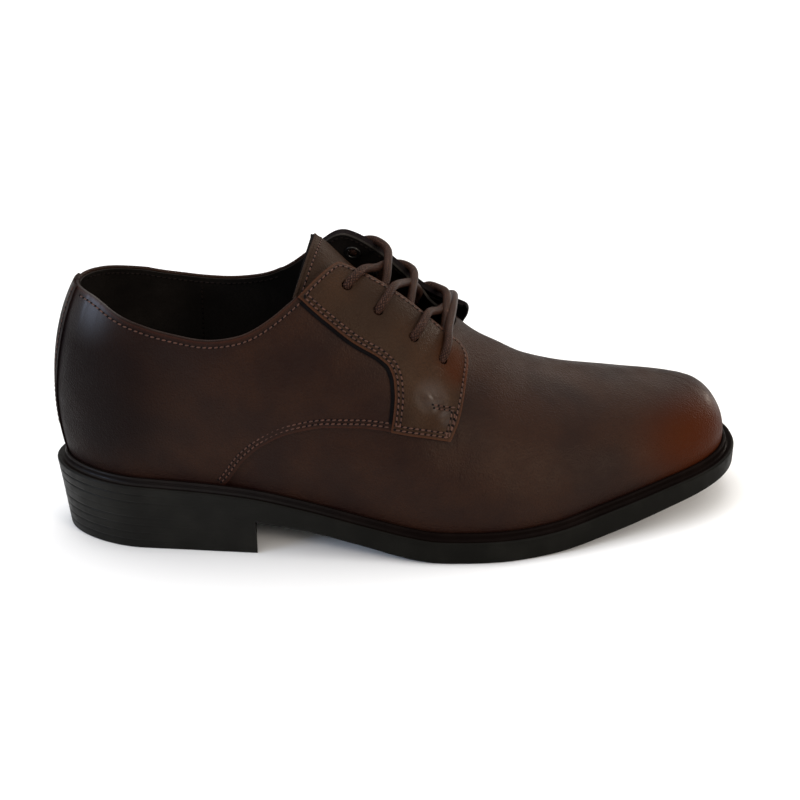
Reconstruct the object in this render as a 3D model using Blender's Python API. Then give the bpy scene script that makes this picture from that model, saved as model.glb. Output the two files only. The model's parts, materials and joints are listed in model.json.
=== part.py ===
"""Derby dress shoe for the right foot, standing empty on its sole, in metres.

The toe points along +X, the lateral side faces -Y and the floor is z = 0.
Stations in the tables run from the back edge of the sole (0) to the tip of the toe.
"""
import math
from collections import namedtuple

import bmesh
import bpy
import numpy as np

# Driving dimensions
LENGTH = 0.284
HEEL_CENTRE = 0.041
HEEL_ROUND = 0.034
TOE_ROUND = 0.084
TOE_FULLNESS = 0.42
HEEL_FAN = (0.030, 0.070)
TOE_FAN = (0.195, 0.255)
HEEL_BREAST = 0.080
HEEL_TAPER_ENDS = 0.060
HEEL_TAPER_BACK = 0.0028
HEEL_TAPER_BREAST = 0.0010
EDGE_DRAFT = 0.0003
EDGE_CHAMFER = 0.0012
FEATHER_INSET = 0.0055
WALL = 0.0022
SEAT_GAP = 0.0003
WELT_WIDTH = 0.0018
WELT_HEIGHT = 0.0032
INSOLE_THICKNESS = 0.0030
FACING_THICKNESS = 0.0016
FACING_BACK = 0.096
FACING_FRONT = 0.172
FACING_FOOT = 0.16
TONGUE_THICKNESS = 0.0024
TONGUE_TOP = 0.1110
TONGUE_SWEEP = 0.0110
TONGUE_ROOT = 0.1830
TONGUE_SIDE = 0.62
THROAT_ROUND_FROM = 0.163
THROAT_END = 0.1750
THROAT_START = 0.098
COLLAR_BLEND = 14
LACE_RADIUS = 0.00165
LACE_ARCH = 0.0007
LACE_SIDES = 8
LACE_AHEAD = 0.0045
STEPS = 52
ROWS = 9

PlanRow = namedtuple("PlanRow", "station lateral medial")
SOLE_PLAN = (
    PlanRow(0.000, 0.0255, 0.0255),
    PlanRow(0.033, 0.0320, 0.0308),
    PlanRow(0.057, 0.0366, 0.0332),
    PlanRow(0.090, 0.0437, 0.0325),
    PlanRow(0.125, 0.0524, 0.0318),
    PlanRow(0.150, 0.0590, 0.0340),
    PlanRow(0.175, 0.0614, 0.0385),
    PlanRow(0.200, 0.0575, 0.0412),
    PlanRow(0.230, 0.0506, 0.0412),
    PlanRow(0.256, 0.0482, 0.0402),
    PlanRow(0.284, 0.0488, 0.0415),
)

EdgeRow = namedtuple("EdgeRow", "station rim ground")
SOLE_EDGE = (
    EdgeRow(0.000, 0.0310, 0.0190),
    EdgeRow(0.036, 0.0288, 0.0180),
    EdgeRow(0.075, 0.0256, 0.0148),
    EdgeRow(0.100, 0.0208, 0.0112),
    EdgeRow(0.122, 0.0154, 0.0060),
    EdgeRow(0.140, 0.0116, 0.0016),
    EdgeRow(0.154, 0.0098, 0.0000),
    EdgeRow(0.190, 0.0096, 0.0000),
    EdgeRow(0.222, 0.0136, 0.0034),
    EdgeRow(0.250, 0.0182, 0.0086),
    EdgeRow(0.284, 0.0222, 0.0140),
)

SectionRow = namedtuple("SectionRow", "station height offset lean wall crown flare")
UPPER = (
    SectionRow(0.039, 0.1240, 0.0000, 12.5, 0.40, 0.90, 0.0),
    SectionRow(0.070, 0.1290, 0.0000, 10.0, 0.44, 0.95, 0.0),
    SectionRow(0.100, 0.1260, 0.0000, 9.0, 0.46, 0.80, 0.0015),
    SectionRow(0.125, 0.1165, 0.0005, 9.0, 0.48, 0.68, 0.0050),
    SectionRow(0.140, 0.1070, 0.0010, 9.0, 0.48, 0.62, 0.0050),
    SectionRow(0.150, 0.0985, 0.0010, 9.0, 0.48, 0.58, 0.0048),
    SectionRow(0.160, 0.0880, 0.0008, 9.0, 0.48, 0.54, 0.0036),
    SectionRow(0.168, 0.0802, 0.0005, 9.0, 0.49, 0.51, 0.0),
    SectionRow(0.176, 0.0738, 0.0000, 9.0, 0.50, 0.50, 0.0),
    SectionRow(0.205, 0.0592, -0.0015, 8.0, 0.52, 0.54, 0.0),
    SectionRow(0.230, 0.0543, -0.0015, 9.0, 0.54, 0.58, 0.0),
    SectionRow(0.253, 0.0510, -0.0005, 12.0, 0.55, 0.64, 0.0),
)
TONGUE = (
    SectionRow(0.096, 0.1250, 0.0000, 9.0, 0.46, 0.62, 0.0),
    SectionRow(0.110, 0.1210, 0.0000, 9.0, 0.46, 0.60, 0.0),
    SectionRow(0.126, 0.1050, 0.0000, 9.0, 0.46, 0.56, 0.0),
    SectionRow(0.140, 0.0945, 0.0000, 9.0, 0.46, 0.54, 0.0),
    SectionRow(0.155, 0.0825, 0.0000, 9.0, 0.46, 0.52, 0.0),
    SectionRow(0.165, 0.0742, 0.0000, 9.0, 0.47, 0.51, 0.0),
    SectionRow(0.176, 0.0703, 0.0000, 9.0, 0.48, 0.50, 0.0),
    SectionRow(0.186, 0.0639, 0.0000, 9.0, 0.48, 0.50, 0.0),
)

TopRow = namedtuple("TopRow", "station ridge")
RIDGE = (
    TopRow(0.000, 0.039),
    TopRow(0.030, 0.048),
    TopRow(0.070, 0.071),
    TopRow(0.095, 0.095),
    TopRow(0.120, 0.120),
    TopRow(0.180, 0.180),
    TopRow(0.205, 0.205),
    TopRow(0.255, 0.237),
    TopRow(0.284, 0.253),
)

CollarRow = namedtuple("CollarRow", "station lateral medial")
COLLAR = (
    CollarRow(0.000, 0.1068, 0.1068),
    CollarRow(0.012, 0.1056, 0.1058),
    CollarRow(0.025, 0.1012, 0.1034),
    CollarRow(0.038, 0.0960, 0.1006),
    CollarRow(0.050, 0.0920, 0.0980),
    CollarRow(0.064, 0.0900, 0.0956),
    CollarRow(0.078, 0.0917, 0.0944),
    CollarRow(0.090, 0.0975, 0.0956),
    CollarRow(0.100, 0.1045, 0.1000),
    CollarRow(0.109, 0.1118, 0.1080),
    CollarRow(0.117, 0.1175, 0.1165),
    CollarRow(0.125, 0.1300, 0.1300),
)

ThroatRow = namedtuple("ThroatRow", "station lateral medial")
THROAT = (
    ThroatRow(0.100, -0.0205, 0.0185),
    ThroatRow(0.118, -0.0168, 0.0140),
    ThroatRow(0.130, -0.0165, 0.0130),
    ThroatRow(0.155, -0.0168, 0.0125),
    ThroatRow(0.175, -0.0155, 0.0120),
)

OutlineRow = namedtuple("OutlineRow", "station height")
FACING_OUTLINE = (
    OutlineRow(0.1015, 0.1062),
    OutlineRow(0.1082, 0.0998),
    OutlineRow(0.1129, 0.0958),
    OutlineRow(0.1220, 0.0883),
    OutlineRow(0.1321, 0.0819),
    OutlineRow(0.1357, 0.0781),
    OutlineRow(0.1371, 0.0731),
    OutlineRow(0.1372, 0.0685),
    OutlineRow(0.1360, 0.0594),
    OutlineRow(0.1349, 0.0550),
    OutlineRow(0.1459, 0.0525),
    OutlineRow(0.1575, 0.0495),
    OutlineRow(0.1590, 0.0508),
    OutlineRow(0.1619, 0.0562),
    OutlineRow(0.1643, 0.0623),
    OutlineRow(0.1661, 0.0675),
    OutlineRow(0.1680, 0.0725),
    OutlineRow(0.1687, 0.0765),
    OutlineRow(0.1680, 0.0900),
    OutlineRow(0.1500, 0.1200),
    OutlineRow(0.1015, 0.1300),
)

EyeletRow = namedtuple("EyeletRow", "station height")
EYELETS = (
    EyeletRow(0.1209, 0.1069),
    EyeletRow(0.1325, 0.0974),
    EyeletRow(0.1457, 0.0864),
    EyeletRow(0.1568, 0.0764),
)

SIDE = {"lateral": -1.0, "medial": 1.0}


def smooth(table, column, station):
    """Value of a table's column at a station, through a monotone cubic."""
    knots = np.array([row.station for row in table])
    values = np.array([getattr(row, column) for row in table])
    at = np.clip(np.asarray(station, float), knots[0], knots[-1])
    width = np.diff(knots)
    rise = np.diff(values) / width
    tangent = np.zeros(len(knots))
    tangent[0] = rise[0]
    tangent[-1] = rise[-1]
    for k in range(1, len(knots) - 1):
        if rise[k - 1] * rise[k] > 0:
            before = 2 * width[k] + width[k - 1]
            after = width[k] + 2 * width[k - 1]
            tangent[k] = (before + after) / (before / rise[k - 1] + after / rise[k])
    cell = np.clip(np.searchsorted(knots, at, side="right") - 1, 0, len(knots) - 2)
    u = (at - knots[cell]) / width[cell]
    ends = values[cell] * (1 + 2 * u) * (1 - u) ** 2 + values[cell + 1] * u * u * (3 - 2 * u)
    slopes = tangent[cell] * u * (1 - u) ** 2 - tangent[cell + 1] * u * u * (1 - u)
    return ends + width[cell] * slopes


def slope(table, column, station):
    """Rise of a table's column per metre at a station."""
    ahead = np.clip(station + 1e-4, table[0].station, table[-1].station)
    behind = np.clip(station - 1e-4, table[0].station, table[-1].station)
    return (smooth(table, column, ahead) - smooth(table, column, behind)) / (ahead - behind)


def ease(low, high, x):
    """Soft step from 0 at low to 1 at high."""
    u = np.clip((x - low) / (high - low), 0, 1)
    return u * u * (3 - 2 * u)


def station_of(t):
    """Station on the sole's axis for a step t from heel (0) to toe (1)."""
    return LENGTH * (1 - np.cos(np.pi * np.asarray(t, float))) / 2


def step_of(station):
    """Step t that lies at a station."""
    return np.arccos(np.clip(1 - 2 * np.asarray(station, float) / LENGTH, -1, 1)) / np.pi


def plan(side, t):
    """One side of the sole's outline, seen from above."""
    x = station_of(t)
    back = np.clip(1 - x / HEEL_ROUND, 0, 1)
    front = np.clip((x - LENGTH + TOE_ROUND) / TOE_ROUND, 0, 1)
    ends = np.sqrt(1 - back ** 2) * (1 - front ** 2) ** TOE_FULLNESS
    return x, SIDE[side] * smooth(SOLE_PLAN, side, x) * ends


def outline(side, t, inset):
    """Outline moved in by an inset, with its outward direction."""
    t = np.asarray(t, float)
    small = 1e-4
    x, y = plan(side, t)
    x0, y0 = plan(side, np.clip(t - small, 0, 1))
    x1, y1 = plan(side, np.clip(t + small, 0, 1))
    run = np.hypot(x1 - x0, y1 - y0)
    nx = -SIDE[side] * (y1 - y0) / run
    ny = SIDE[side] * (x1 - x0) / run
    nx = np.where(t <= small, -1.0, np.where(t >= 1 - small, 1.0, nx))
    ny = np.where((t <= small) | (t >= 1 - small), 0.0, ny)
    return x - inset * nx, y - inset * ny, nx, ny


def surface(side, t, a, table=UPPER, inset=FEATHER_INSET):
    """Points of a section's curve, from the feather line (a = 0) to the ridge (a = 1)."""
    t, a = np.broadcast_arrays(np.asarray(t, float), np.asarray(a, float))
    fx, fy, nx, ny = outline(side, t, inset)
    x = station_of(t)
    fz = smooth(SOLE_EDGE, "rim", x) + SEAT_GAP
    rx = smooth(RIDGE, "ridge", x)
    ry = smooth(table, "offset", rx)
    rz = smooth(table, "height", rx) + (SIDE[side] > 0) * smooth(table, "flare", rx)
    fall = slope(table, "height", rx)
    lean = np.radians(smooth(table, "lean", rx))
    fan = 1 - ease(*HEEL_FAN, x) + ease(*TOE_FAN, x)
    dx = nx * fan
    dy = np.where(fan > 0, ny, SIDE[side])
    size = np.hypot(dx, dy)
    dx = dx / size
    dy = dy / size
    wall = smooth(table, "wall", rx) * (rz - fz)
    crown = smooth(table, "crown", rx) * np.hypot(rx - fx, ry - fy)
    foot = np.stack([fx, fy, fz], -1)
    ridge = np.stack([rx, ry, rz], -1)
    low = foot + np.stack([dx * np.sin(lean), dy * np.sin(lean), np.cos(lean)], -1) * wall[..., None]
    high = ridge + np.stack([dx, dy, fall * dx], -1) * crown[..., None]
    b = (1 - a)[..., None]
    c = a[..., None]
    return foot * b ** 3 + low * 3 * b * b * c + high * 3 * b * c * c + ridge * c ** 3


def outward(side, t, a, table=UPPER, inset=FEATHER_INSET):
    """Unit outward directions of a section's surface, level across the centre lines."""
    t, a = np.broadcast_arrays(np.asarray(t, float), np.asarray(a, float))
    small = 1e-4
    along = surface(side, np.clip(t + small, 0, 1), a, table, inset)
    along = along - surface(side, np.clip(t - small, 0, 1), a, table, inset)
    up = surface(side, t, np.clip(a + small, 0, 1), table, inset)
    up = up - surface(side, t, np.clip(a - small, 0, 1), table, inset)
    n = np.cross(along, up) * -SIDE[side]
    ends = (t < small) | (t > 1 - small)
    n[..., 1] = np.where(ends, 0.0, n[..., 1])
    fall = slope(table, "height", smooth(RIDGE, "ridge", station_of(t)))
    crest = np.stack([-fall, 0 * fall, 1 + 0 * fall], -1)
    n = np.where((a > 1 - small)[..., None], crest, n)
    return n / np.linalg.norm(n, axis=-1, keepdims=True)


def reach(side, t, value, axis, table=UPPER, inset=FEATHER_INSET):
    """Share a of each section where its height (axis 2) or its side offset (axis 1) meets a value."""
    low = np.zeros_like(np.asarray(t, float))
    high = np.ones_like(low)
    sign = 1.0 if axis == 2 else -SIDE[side]
    for _ in range(40):
        middle = (low + high) / 2
        below = (surface(side, t, middle, table, inset)[..., axis] - value) * sign < 0
        low = np.where(below, middle, low)
        high = np.where(below, high, middle)
    return (low + high) / 2


def top_share(side, t, rounded=True):
    """Share a where the upper ends: along the collar, then along the throat."""
    x = station_of(t)
    collar = reach(side, t, smooth(COLLAR, side, x), 2)
    edge = smooth(THROAT, side, x)
    middle = smooth(UPPER, "offset", x)
    if rounded:
        into = np.clip((x - THROAT_ROUND_FROM) / (THROAT_END - THROAT_ROUND_FROM), 0, 1)
        edge = middle + (edge - middle) * np.sqrt(1 - into ** 2)
    widest = surface(side, t, np.full_like(x, 0.3))[..., 1]
    edge = np.where(np.abs(edge) < np.abs(widest), edge, widest * 0.9)
    throat = reach(side, t, edge, 1)
    throat = np.where(x < THROAT_START, 1.0, throat)
    share = (collar ** -COLLAR_BLEND + throat ** -COLLAR_BLEND - 1) ** (-1 / COLLAR_BLEND)
    return np.where(x >= THROAT_END, 1.0, share) if rounded else share


def locate(side, station, height):
    """Step and share of the surface point with a station and a height, on one side."""
    t = step_of(station)
    a = np.zeros_like(t)
    for _ in range(6):
        a = reach(side, t, height, 2)
        t = step_of(station_of(t) + station - surface(side, t, a)[..., 0])
    return t, a


def clean():
    """Empty the scene."""
    for item in list(bpy.data.objects):
        bpy.data.objects.remove(item)
    for group in list(bpy.data.collections):
        bpy.data.collections.remove(group)


def collection(name):
    """New collection in the scene."""
    group = bpy.data.collections.new(name)
    bpy.context.scene.collection.children.link(group)
    return group


def material(name, colour, roughness):
    """Plain material for one piece."""
    made = bpy.data.materials.new(name)
    made.use_nodes = True
    shader = made.node_tree.nodes["Principled BSDF"]
    shader.inputs["Base Color"].default_value = (*colour, 1.0)
    shader.inputs["Roughness"].default_value = roughness
    return made


def solid(name, bm, group, finish):
    """Closed object from a mesh under construction."""
    bmesh.ops.remove_doubles(bm, verts=bm.verts, dist=2e-6)
    bmesh.ops.dissolve_degenerate(bm, edges=bm.edges, dist=1e-6)
    bmesh.ops.recalc_face_normals(bm, faces=bm.faces)
    mesh = bpy.data.meshes.new(name)
    bm.to_mesh(mesh)
    bm.free()
    made = bpy.data.objects.new(name, mesh)
    if finish:
        mesh.materials.append(finish)
    group.objects.link(made)
    return made


def verts_of(bm, points):
    """Grid of vertices for a grid of points."""
    return [[bm.verts.new(tuple(p)) for p in row] for row in points]


def strip(bm, one, two):
    """Quads between two rows of vertices."""
    for k in range(len(one) - 1):
        corners = []
        for vert in (one[k], one[k + 1], two[k + 1], two[k]):
            if vert not in corners:
                corners.append(vert)
        if len(corners) > 2:
            bm.faces.new(corners)


def skin(bm, grid):
    """Quads over a grid of vertices."""
    for k in range(len(grid) - 1):
        strip(bm, grid[k], grid[k + 1])


def slab(bm, outer, inner):
    """Closed sheet between two grids of points."""
    face = verts_of(bm, outer)
    back = verts_of(bm, inner)
    skin(bm, face)
    skin(bm, back)
    strip(bm, face[0], back[0])
    strip(bm, face[-1], back[-1])
    strip(bm, [row[0] for row in face], [row[0] for row in back])
    strip(bm, [row[-1] for row in face], [row[-1] for row in back])


def ring(points):
    """One loop of points round the shoe from a function of the side."""
    lateral = points("lateral")
    medial = points("medial")
    return np.concatenate([lateral, medial[-2:0:-1]])


def steps():
    """Steps along the shoe, with one on the heel's breast."""
    even = np.linspace(0, 1, STEPS + 1)
    breast = float(step_of(HEEL_BREAST))
    even[np.argmin(np.abs(even - breast))] = breast
    into = THROAT_END - THROAT_ROUND_FROM
    closing = step_of(THROAT_END - into * np.array([0.0, 0.04, 0.13, 0.28]))
    even = even[np.min(np.abs(even[:, None] - closing[None, :]), axis=1) > 0.004]
    return np.sort(np.concatenate([even, closing]))


def sole_points(side, t, inset, z):
    """Points on an inset outline at given heights."""
    x, y, _, _ = outline(side, t, inset)
    return np.stack([x, y, z + 0 * x], -1)


def make_outsole(group):
    """Moulded sole with its heel, arch and toe spring."""
    t = steps()
    x = station_of(t)
    heel = x <= HEEL_BREAST + 1e-9
    fore = x >= HEEL_BREAST - 1e-9
    rim = smooth(SOLE_EDGE, "rim", x)
    ground = smooth(SOLE_EDGE, "ground", x)
    taper = HEEL_TAPER_BACK + (HEEL_TAPER_BREAST - HEEL_TAPER_BACK) * ease(0.0, HEEL_BREAST, x)
    share = np.where(heel, taper * (1 - ground / rim), EDGE_DRAFT)
    share = EDGE_DRAFT + (share - EDGE_DRAFT) * (1 - ease(HEEL_TAPER_ENDS, HEEL_BREAST, x))
    bm = bmesh.new()
    sides = {}
    for side in SIDE:
        top = verts_of(bm, [sole_points(side, t, 0.0, rim)])[0]
        low = verts_of(bm, [sole_points(side, t, share, ground + EDGE_CHAMFER)])[0]
        under = verts_of(bm, [sole_points(side, t[fore], EDGE_DRAFT + EDGE_CHAMFER, ground[fore])])[0]
        cup = verts_of(bm, [sole_points(side, t[heel], taper[heel], EDGE_CHAMFER * 0.6)])[0]
        base = verts_of(bm, [sole_points(side, t[heel], taper[heel] + EDGE_CHAMFER * 0.6, 0.0)])[0]
        strip(bm, top, low)
        strip(bm, low[-len(under):], under)
        strip(bm, low[:len(cup)], cup)
        strip(bm, cup, base)
        sides[side] = (top, low, under, cup, base)
    one = sides["lateral"]
    two = sides["medial"]
    strip(bm, one[0], two[0])
    strip(bm, one[2], two[2])
    strip(bm, one[4], two[4])
    edge = len(one[3]) - 1
    breast = [one[1][edge], one[2][0], two[2][0], two[1][edge], two[3][edge], two[4][edge]]
    breast = breast + [one[4][edge], one[3][edge]]
    bm.faces.new(breast)
    return solid("outsole", bm, group, material("rubber", (0.012, 0.012, 0.011), 0.55))


def make_insole(group):
    """Flat board and sock inside the upper, on the sole."""
    t = steps()
    rim = smooth(SOLE_EDGE, "rim", station_of(t))
    inset = FEATHER_INSET + WALL + 2 * SEAT_GAP
    bm = bmesh.new()
    rows = {}
    for side in SIDE:
        low = verts_of(bm, [sole_points(side, t, inset, rim + SEAT_GAP)])[0]
        high = verts_of(bm, [sole_points(side, t, inset, rim + SEAT_GAP + INSOLE_THICKNESS)])[0]
        strip(bm, low, high)
        rows[side] = (low, high)
    strip(bm, rows["lateral"][0], rows["medial"][0])
    strip(bm, rows["lateral"][1], rows["medial"][1])
    return solid("insole", bm, group, material("sock_leather", (0.03, 0.025, 0.022), 0.7))


def make_welt(group):
    """Raised bead on the sole's rim, round the foot of the upper."""
    t = steps()
    rim = smooth(SOLE_EDGE, "rim", station_of(t))
    shift = SEAT_GAP * 1.3
    bm = bmesh.new()
    loops = []
    for level, width in ((0.0, 0.0), (1.0, 0.0), (1.0, 0.8), (0.75, 1.0), (0.0, 1.0)):
        def points(side, level=level, width=width):
            height = rim + SEAT_GAP + level * WELT_HEIGHT
            a = reach(side, t, height, 2) if level > 0 else np.zeros_like(t)
            foot = surface(side, t, a)
            _, _, nx, ny = outline(side, t, 0.0)
            out = shift + width * WELT_WIDTH
            return np.stack([foot[:, 0] + nx * out, foot[:, 1] + ny * out, height], -1)
        loops.append(ring(points))
    grid = verts_of(bm, loops)
    for k in range(len(grid)):
        one = grid[k]
        two = grid[(k + 1) % len(grid)]
        strip(bm, one + one[:1], two + two[:1])
    return solid("welt", bm, group, material("welt_rubber", (0.02, 0.019, 0.018), 0.5))


def make_upper(group):
    """Hollow leather upper, open at the collar, at the throat and underneath."""
    t = steps()
    share = np.linspace(0, 1, ROWS + 1) ** 0.9
    bm = bmesh.new()
    for side in SIDE:
        top = top_share(side, t)
        a = share[:, None] * top[None, :]
        outer = surface(side, t[None, :], a)
        inner = outer - outward(side, t[None, :], a) * WALL
        face = verts_of(bm, outer)
        back = verts_of(bm, inner)
        skin(bm, face)
        skin(bm, back)
        strip(bm, face[0], back[0])
        open_to = int(np.argmax(top >= 1.0)) + 1
        strip(bm, face[-1][:open_to], back[-1][:open_to])
    return solid("upper", bm, group, material("upper_leather", (0.035, 0.018, 0.013), 0.4))


def make_facing(side, group, cutters):
    """Eyelet facing on one side: a sheet over the upper, cut to its outline."""
    t = np.linspace(float(step_of(FACING_BACK)), float(step_of(FACING_FRONT)), 25)
    top = top_share(side, t, rounded=False)
    share = np.linspace(0, 1, 13)[:, None]
    a = FACING_FOOT + share * (top[None, :] - FACING_FOOT)
    skin_points = surface(side, t[None, :], a)
    lift = outward(side, t[None, :], a)
    bm = bmesh.new()
    slab(bm, skin_points + lift * (SEAT_GAP + FACING_THICKNESS), skin_points + lift * SEAT_GAP)
    name = "facing_" + side
    made = solid(name, bm, group, material(name + "_leather", (0.045, 0.026, 0.018), 0.4))
    bm = bmesh.new()
    near = [bm.verts.new((row.station, SIDE[side] * 0.004, row.height)) for row in FACING_OUTLINE]
    far = [bm.verts.new((row.station, SIDE[side] * 0.080, row.height)) for row in FACING_OUTLINE]
    bm.faces.new(near)
    bm.faces.new(far)
    strip(bm, near + near[:1], far + far[:1])
    cutter = solid(name + "_cutter", bm, cutters, None)
    cutter.display_type = "WIRE"
    cutter.hide_render = True
    cut = made.modifiers.new("outline", "BOOLEAN")
    cut.operation = "INTERSECT"
    cut.solver = "EXACT"
    cut.object = cutter
    return made


def make_tongue(group):
    """Tongue under the facings, rising past them to its free top edge."""
    across = np.linspace(-1, 1, 17)
    along = np.linspace(0, 1, 15)
    inset = FEATHER_INSET + WALL + 2.2 * SEAT_GAP
    outer = []
    inner = []
    for w in across:
        side = "lateral" if w < 0 else "medial"
        a = np.full_like(along, 1 - abs(w) * (1 - TONGUE_SIDE))
        end = TONGUE_TOP - TONGUE_SWEEP * abs(w) ** 1.5
        t = step_of(end + along * (TONGUE_ROOT - end))
        points = surface(side, t, a, TONGUE, inset)
        outer.append(points)
        inner.append(points - outward(side, t, a, TONGUE, inset) * TONGUE_THICKNESS)
    bm = bmesh.new()
    slab(bm, outer, inner)
    return solid("tongue", bm, group, material("tongue_leather", (0.04, 0.023, 0.016), 0.45))


def curve_points(knots, count):
    """Smooth run of points through a few knots."""
    knots = np.array(knots)
    first = 2 * knots[0] - knots[1]
    last = 2 * knots[-1] - knots[-2]
    padded = np.concatenate([[first], knots, [last]])
    run = []
    for k in range(len(knots) - 1):
        p0, p1, p2, p3 = padded[k:k + 4]
        for u in np.linspace(0, 1, count, endpoint=False):
            line = 2 * p1 + (p2 - p0) * u + (2 * p0 - 5 * p1 + 4 * p2 - p3) * u * u
            run.append((line + (3 * p1 - p0 - 3 * p2 + p3) * u ** 3) / 2)
    run.append(knots[-1])
    return np.array(run)


def cord(name, knots, group, finish):
    """Round cord through a few knots."""
    path = curve_points(knots, 4)
    ahead = np.gradient(path, axis=0)
    ahead = ahead / np.linalg.norm(ahead, axis=1, keepdims=True)
    bm = bmesh.new()
    rings = []
    side = np.array([1.0, 0.0, 0.0])
    for point, way in zip(path, ahead):
        side = side - way * side.dot(way)
        side = side / np.linalg.norm(side)
        other = np.cross(way, side)
        turns = [2 * math.pi * k / LACE_SIDES for k in range(LACE_SIDES)]
        spokes = [side * math.cos(q) + other * math.sin(q) for q in turns]
        rings.append([bm.verts.new(tuple(point + spoke * LACE_RADIUS)) for spoke in spokes])
    for one, two in zip(rings[:-1], rings[1:]):
        strip(bm, one + one[:1], two + two[:1])
    bm.faces.new(rings[0])
    bm.faces.new(rings[-1])
    return solid(name, bm, group, finish)


def lace_points(side, number):
    """Cord centres at one eyelet: over the hole, over the throat edge and under that edge."""
    row = EYELETS[number]
    t, a = locate(side, np.array([row.station]), np.array([row.height]))
    edge_t = step_of(np.array([row.station + LACE_AHEAD]))
    edge_a = top_share(side, edge_t, rounded=False)
    above = SEAT_GAP * 3.2 + FACING_THICKNESS + LACE_RADIUS
    run = []
    for u in (0.0, 0.5, 1.0):
        at = t + (edge_t - t) * u
        share = a + (edge_a - a) * u
        run.append(surface(side, at, share)[0] + outward(side, at, share)[0] * above)
    normal = outward(side, edge_t, edge_a)[0]
    past = run[2] + (run[2] - run[1]) * 0.45 + normal * LACE_ARCH
    under = surface(side, edge_t, edge_a)[0] - normal * (WALL + SEAT_GAP * 4 + LACE_RADIUS)
    return run + [past], under


def make_lace(group, cutters):
    """Criss-cross cords between the facings and the bar across the lowest pair of holes."""
    finish = material("lace_cord", (0.06, 0.04, 0.033), 0.6)
    names = ("lace_cross_top", "lace_cross_middle", "lace_cross_low")
    for number, name in enumerate(names):
        runs = {}
        for side, other in (("lateral", "medial"), ("medial", "lateral")):
            over, _ = lace_points(side, number)
            _, under = lace_points(other, number + 1)
            runs[side] = over + [over[-1] * 0.3 + under * 0.7, under]
        made = cord(name, runs["lateral"], group, finish)
        crossing = cord(name + "_second", runs["medial"], cutters, None)
        crossing.display_type = "WIRE"
        crossing.hide_render = True
        join = made.modifiers.new("crossing", "BOOLEAN")
        join.operation = "UNION"
        join.solver = "EXACT"
        join.object = crossing
    near, _ = lace_points("lateral", 3)
    far, _ = lace_points("medial", 3)
    middle = (near[-1] + far[-1]) / 2 + np.array([0.0, 0.0, 0.001])
    cord("lace_bar", near + [middle] + far[::-1], group, finish)


def main():
    """Build every piece and stand the shoe on its heel's centre."""
    clean()
    parts = collection("dress_shoe")
    cutters = collection("cutters")
    make_outsole(parts)
    make_insole(parts)
    make_upper(parts)
    make_tongue(parts)
    make_welt(parts)
    for side in SIDE:
        make_facing(side, parts, cutters)
    make_lace(parts, cutters)
    frame = bpy.data.objects.new("dress_shoe_frame", None)
    cutters.objects.link(frame)
    frame.location = (-HEEL_CENTRE, 0.0, 0.0)
    for item in list(parts.objects) + list(cutters.objects):
        if item is not frame:
            item.parent = frame
    cutters.hide_render = True


main()
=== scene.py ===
"""Looks of a plain-toe derby shoe for the right foot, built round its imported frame.

Sizes are in metres. Stations run from the back edge of the sole (0) to the tip of the toe. The shoe's frame
starts at the centre of the heel, so every mesh is moved back by that distance when it is made.
"""
import json
import logging
import math
from dataclasses import dataclass
from enum import Enum, IntEnum
from functools import lru_cache
from typing import NamedTuple, Sequence

import bmesh
import bpy
import numpy as np
from mathutils import Matrix, Vector

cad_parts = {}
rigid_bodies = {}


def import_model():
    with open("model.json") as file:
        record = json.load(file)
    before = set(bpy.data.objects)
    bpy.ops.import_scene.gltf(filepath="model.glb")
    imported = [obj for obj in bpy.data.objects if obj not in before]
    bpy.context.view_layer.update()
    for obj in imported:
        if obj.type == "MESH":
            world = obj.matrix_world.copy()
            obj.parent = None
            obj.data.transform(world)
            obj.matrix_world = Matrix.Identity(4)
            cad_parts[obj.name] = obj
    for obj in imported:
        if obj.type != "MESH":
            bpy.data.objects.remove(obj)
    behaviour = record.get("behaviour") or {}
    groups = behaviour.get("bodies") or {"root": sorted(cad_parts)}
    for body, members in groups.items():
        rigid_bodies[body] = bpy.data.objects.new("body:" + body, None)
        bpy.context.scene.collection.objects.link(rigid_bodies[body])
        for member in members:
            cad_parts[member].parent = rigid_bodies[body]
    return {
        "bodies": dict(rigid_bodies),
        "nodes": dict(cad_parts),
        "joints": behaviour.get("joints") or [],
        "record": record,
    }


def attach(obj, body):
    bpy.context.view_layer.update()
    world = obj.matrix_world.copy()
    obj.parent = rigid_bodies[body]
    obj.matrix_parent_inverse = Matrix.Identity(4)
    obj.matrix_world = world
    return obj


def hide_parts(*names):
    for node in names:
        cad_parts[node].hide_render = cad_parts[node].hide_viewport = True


LOG = logging.getLogger("derby_shoe")
BODY = "root"
Array = np.ndarray
Path = tuple[Array, Array]
Span = tuple[float, float]
Spot = tuple[float, float, float]
Colour = tuple[float, float, float, float]
Mesh = bmesh.types.BMesh
Piece = bpy.types.Object
Material = bpy.types.Material
Socket = bpy.types.NodeSocket


class Side(Enum):
    """Side of the right shoe, with its direction along Y."""

    LATERAL = -1.0
    MEDIAL = 1.0

    @property
    def word(self) -> str:
        """Name of the side in lower case."""
        return self.name.lower()

    @property
    def other(self) -> "Side":
        """The opposite side."""
        return Side.MEDIAL if self is Side.LATERAL else Side.LATERAL


class Axis(IntEnum):
    """Coordinate that a cross curve is compared by."""

    ACROSS = 1
    UP = 2


class Join(Enum):
    """Way of joining two values in a finish."""

    SUM = "ADD"
    PRODUCT = "MULTIPLY"
    LARGER = "MAXIMUM"


class PairRow(NamedTuple):
    """A value for each side at a station."""

    station: float
    lateral: float
    medial: float


class EdgeRow(NamedTuple):
    """Heights of the sole's rim and of its underside at a station."""

    station: float
    rim: float
    ground: float


class SectionRow(NamedTuple):
    """Ridge height and the shape of the cross curve at a station."""

    station: float
    height: float
    offset: float
    lean: float
    wall: float
    crown: float
    flare: float


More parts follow.
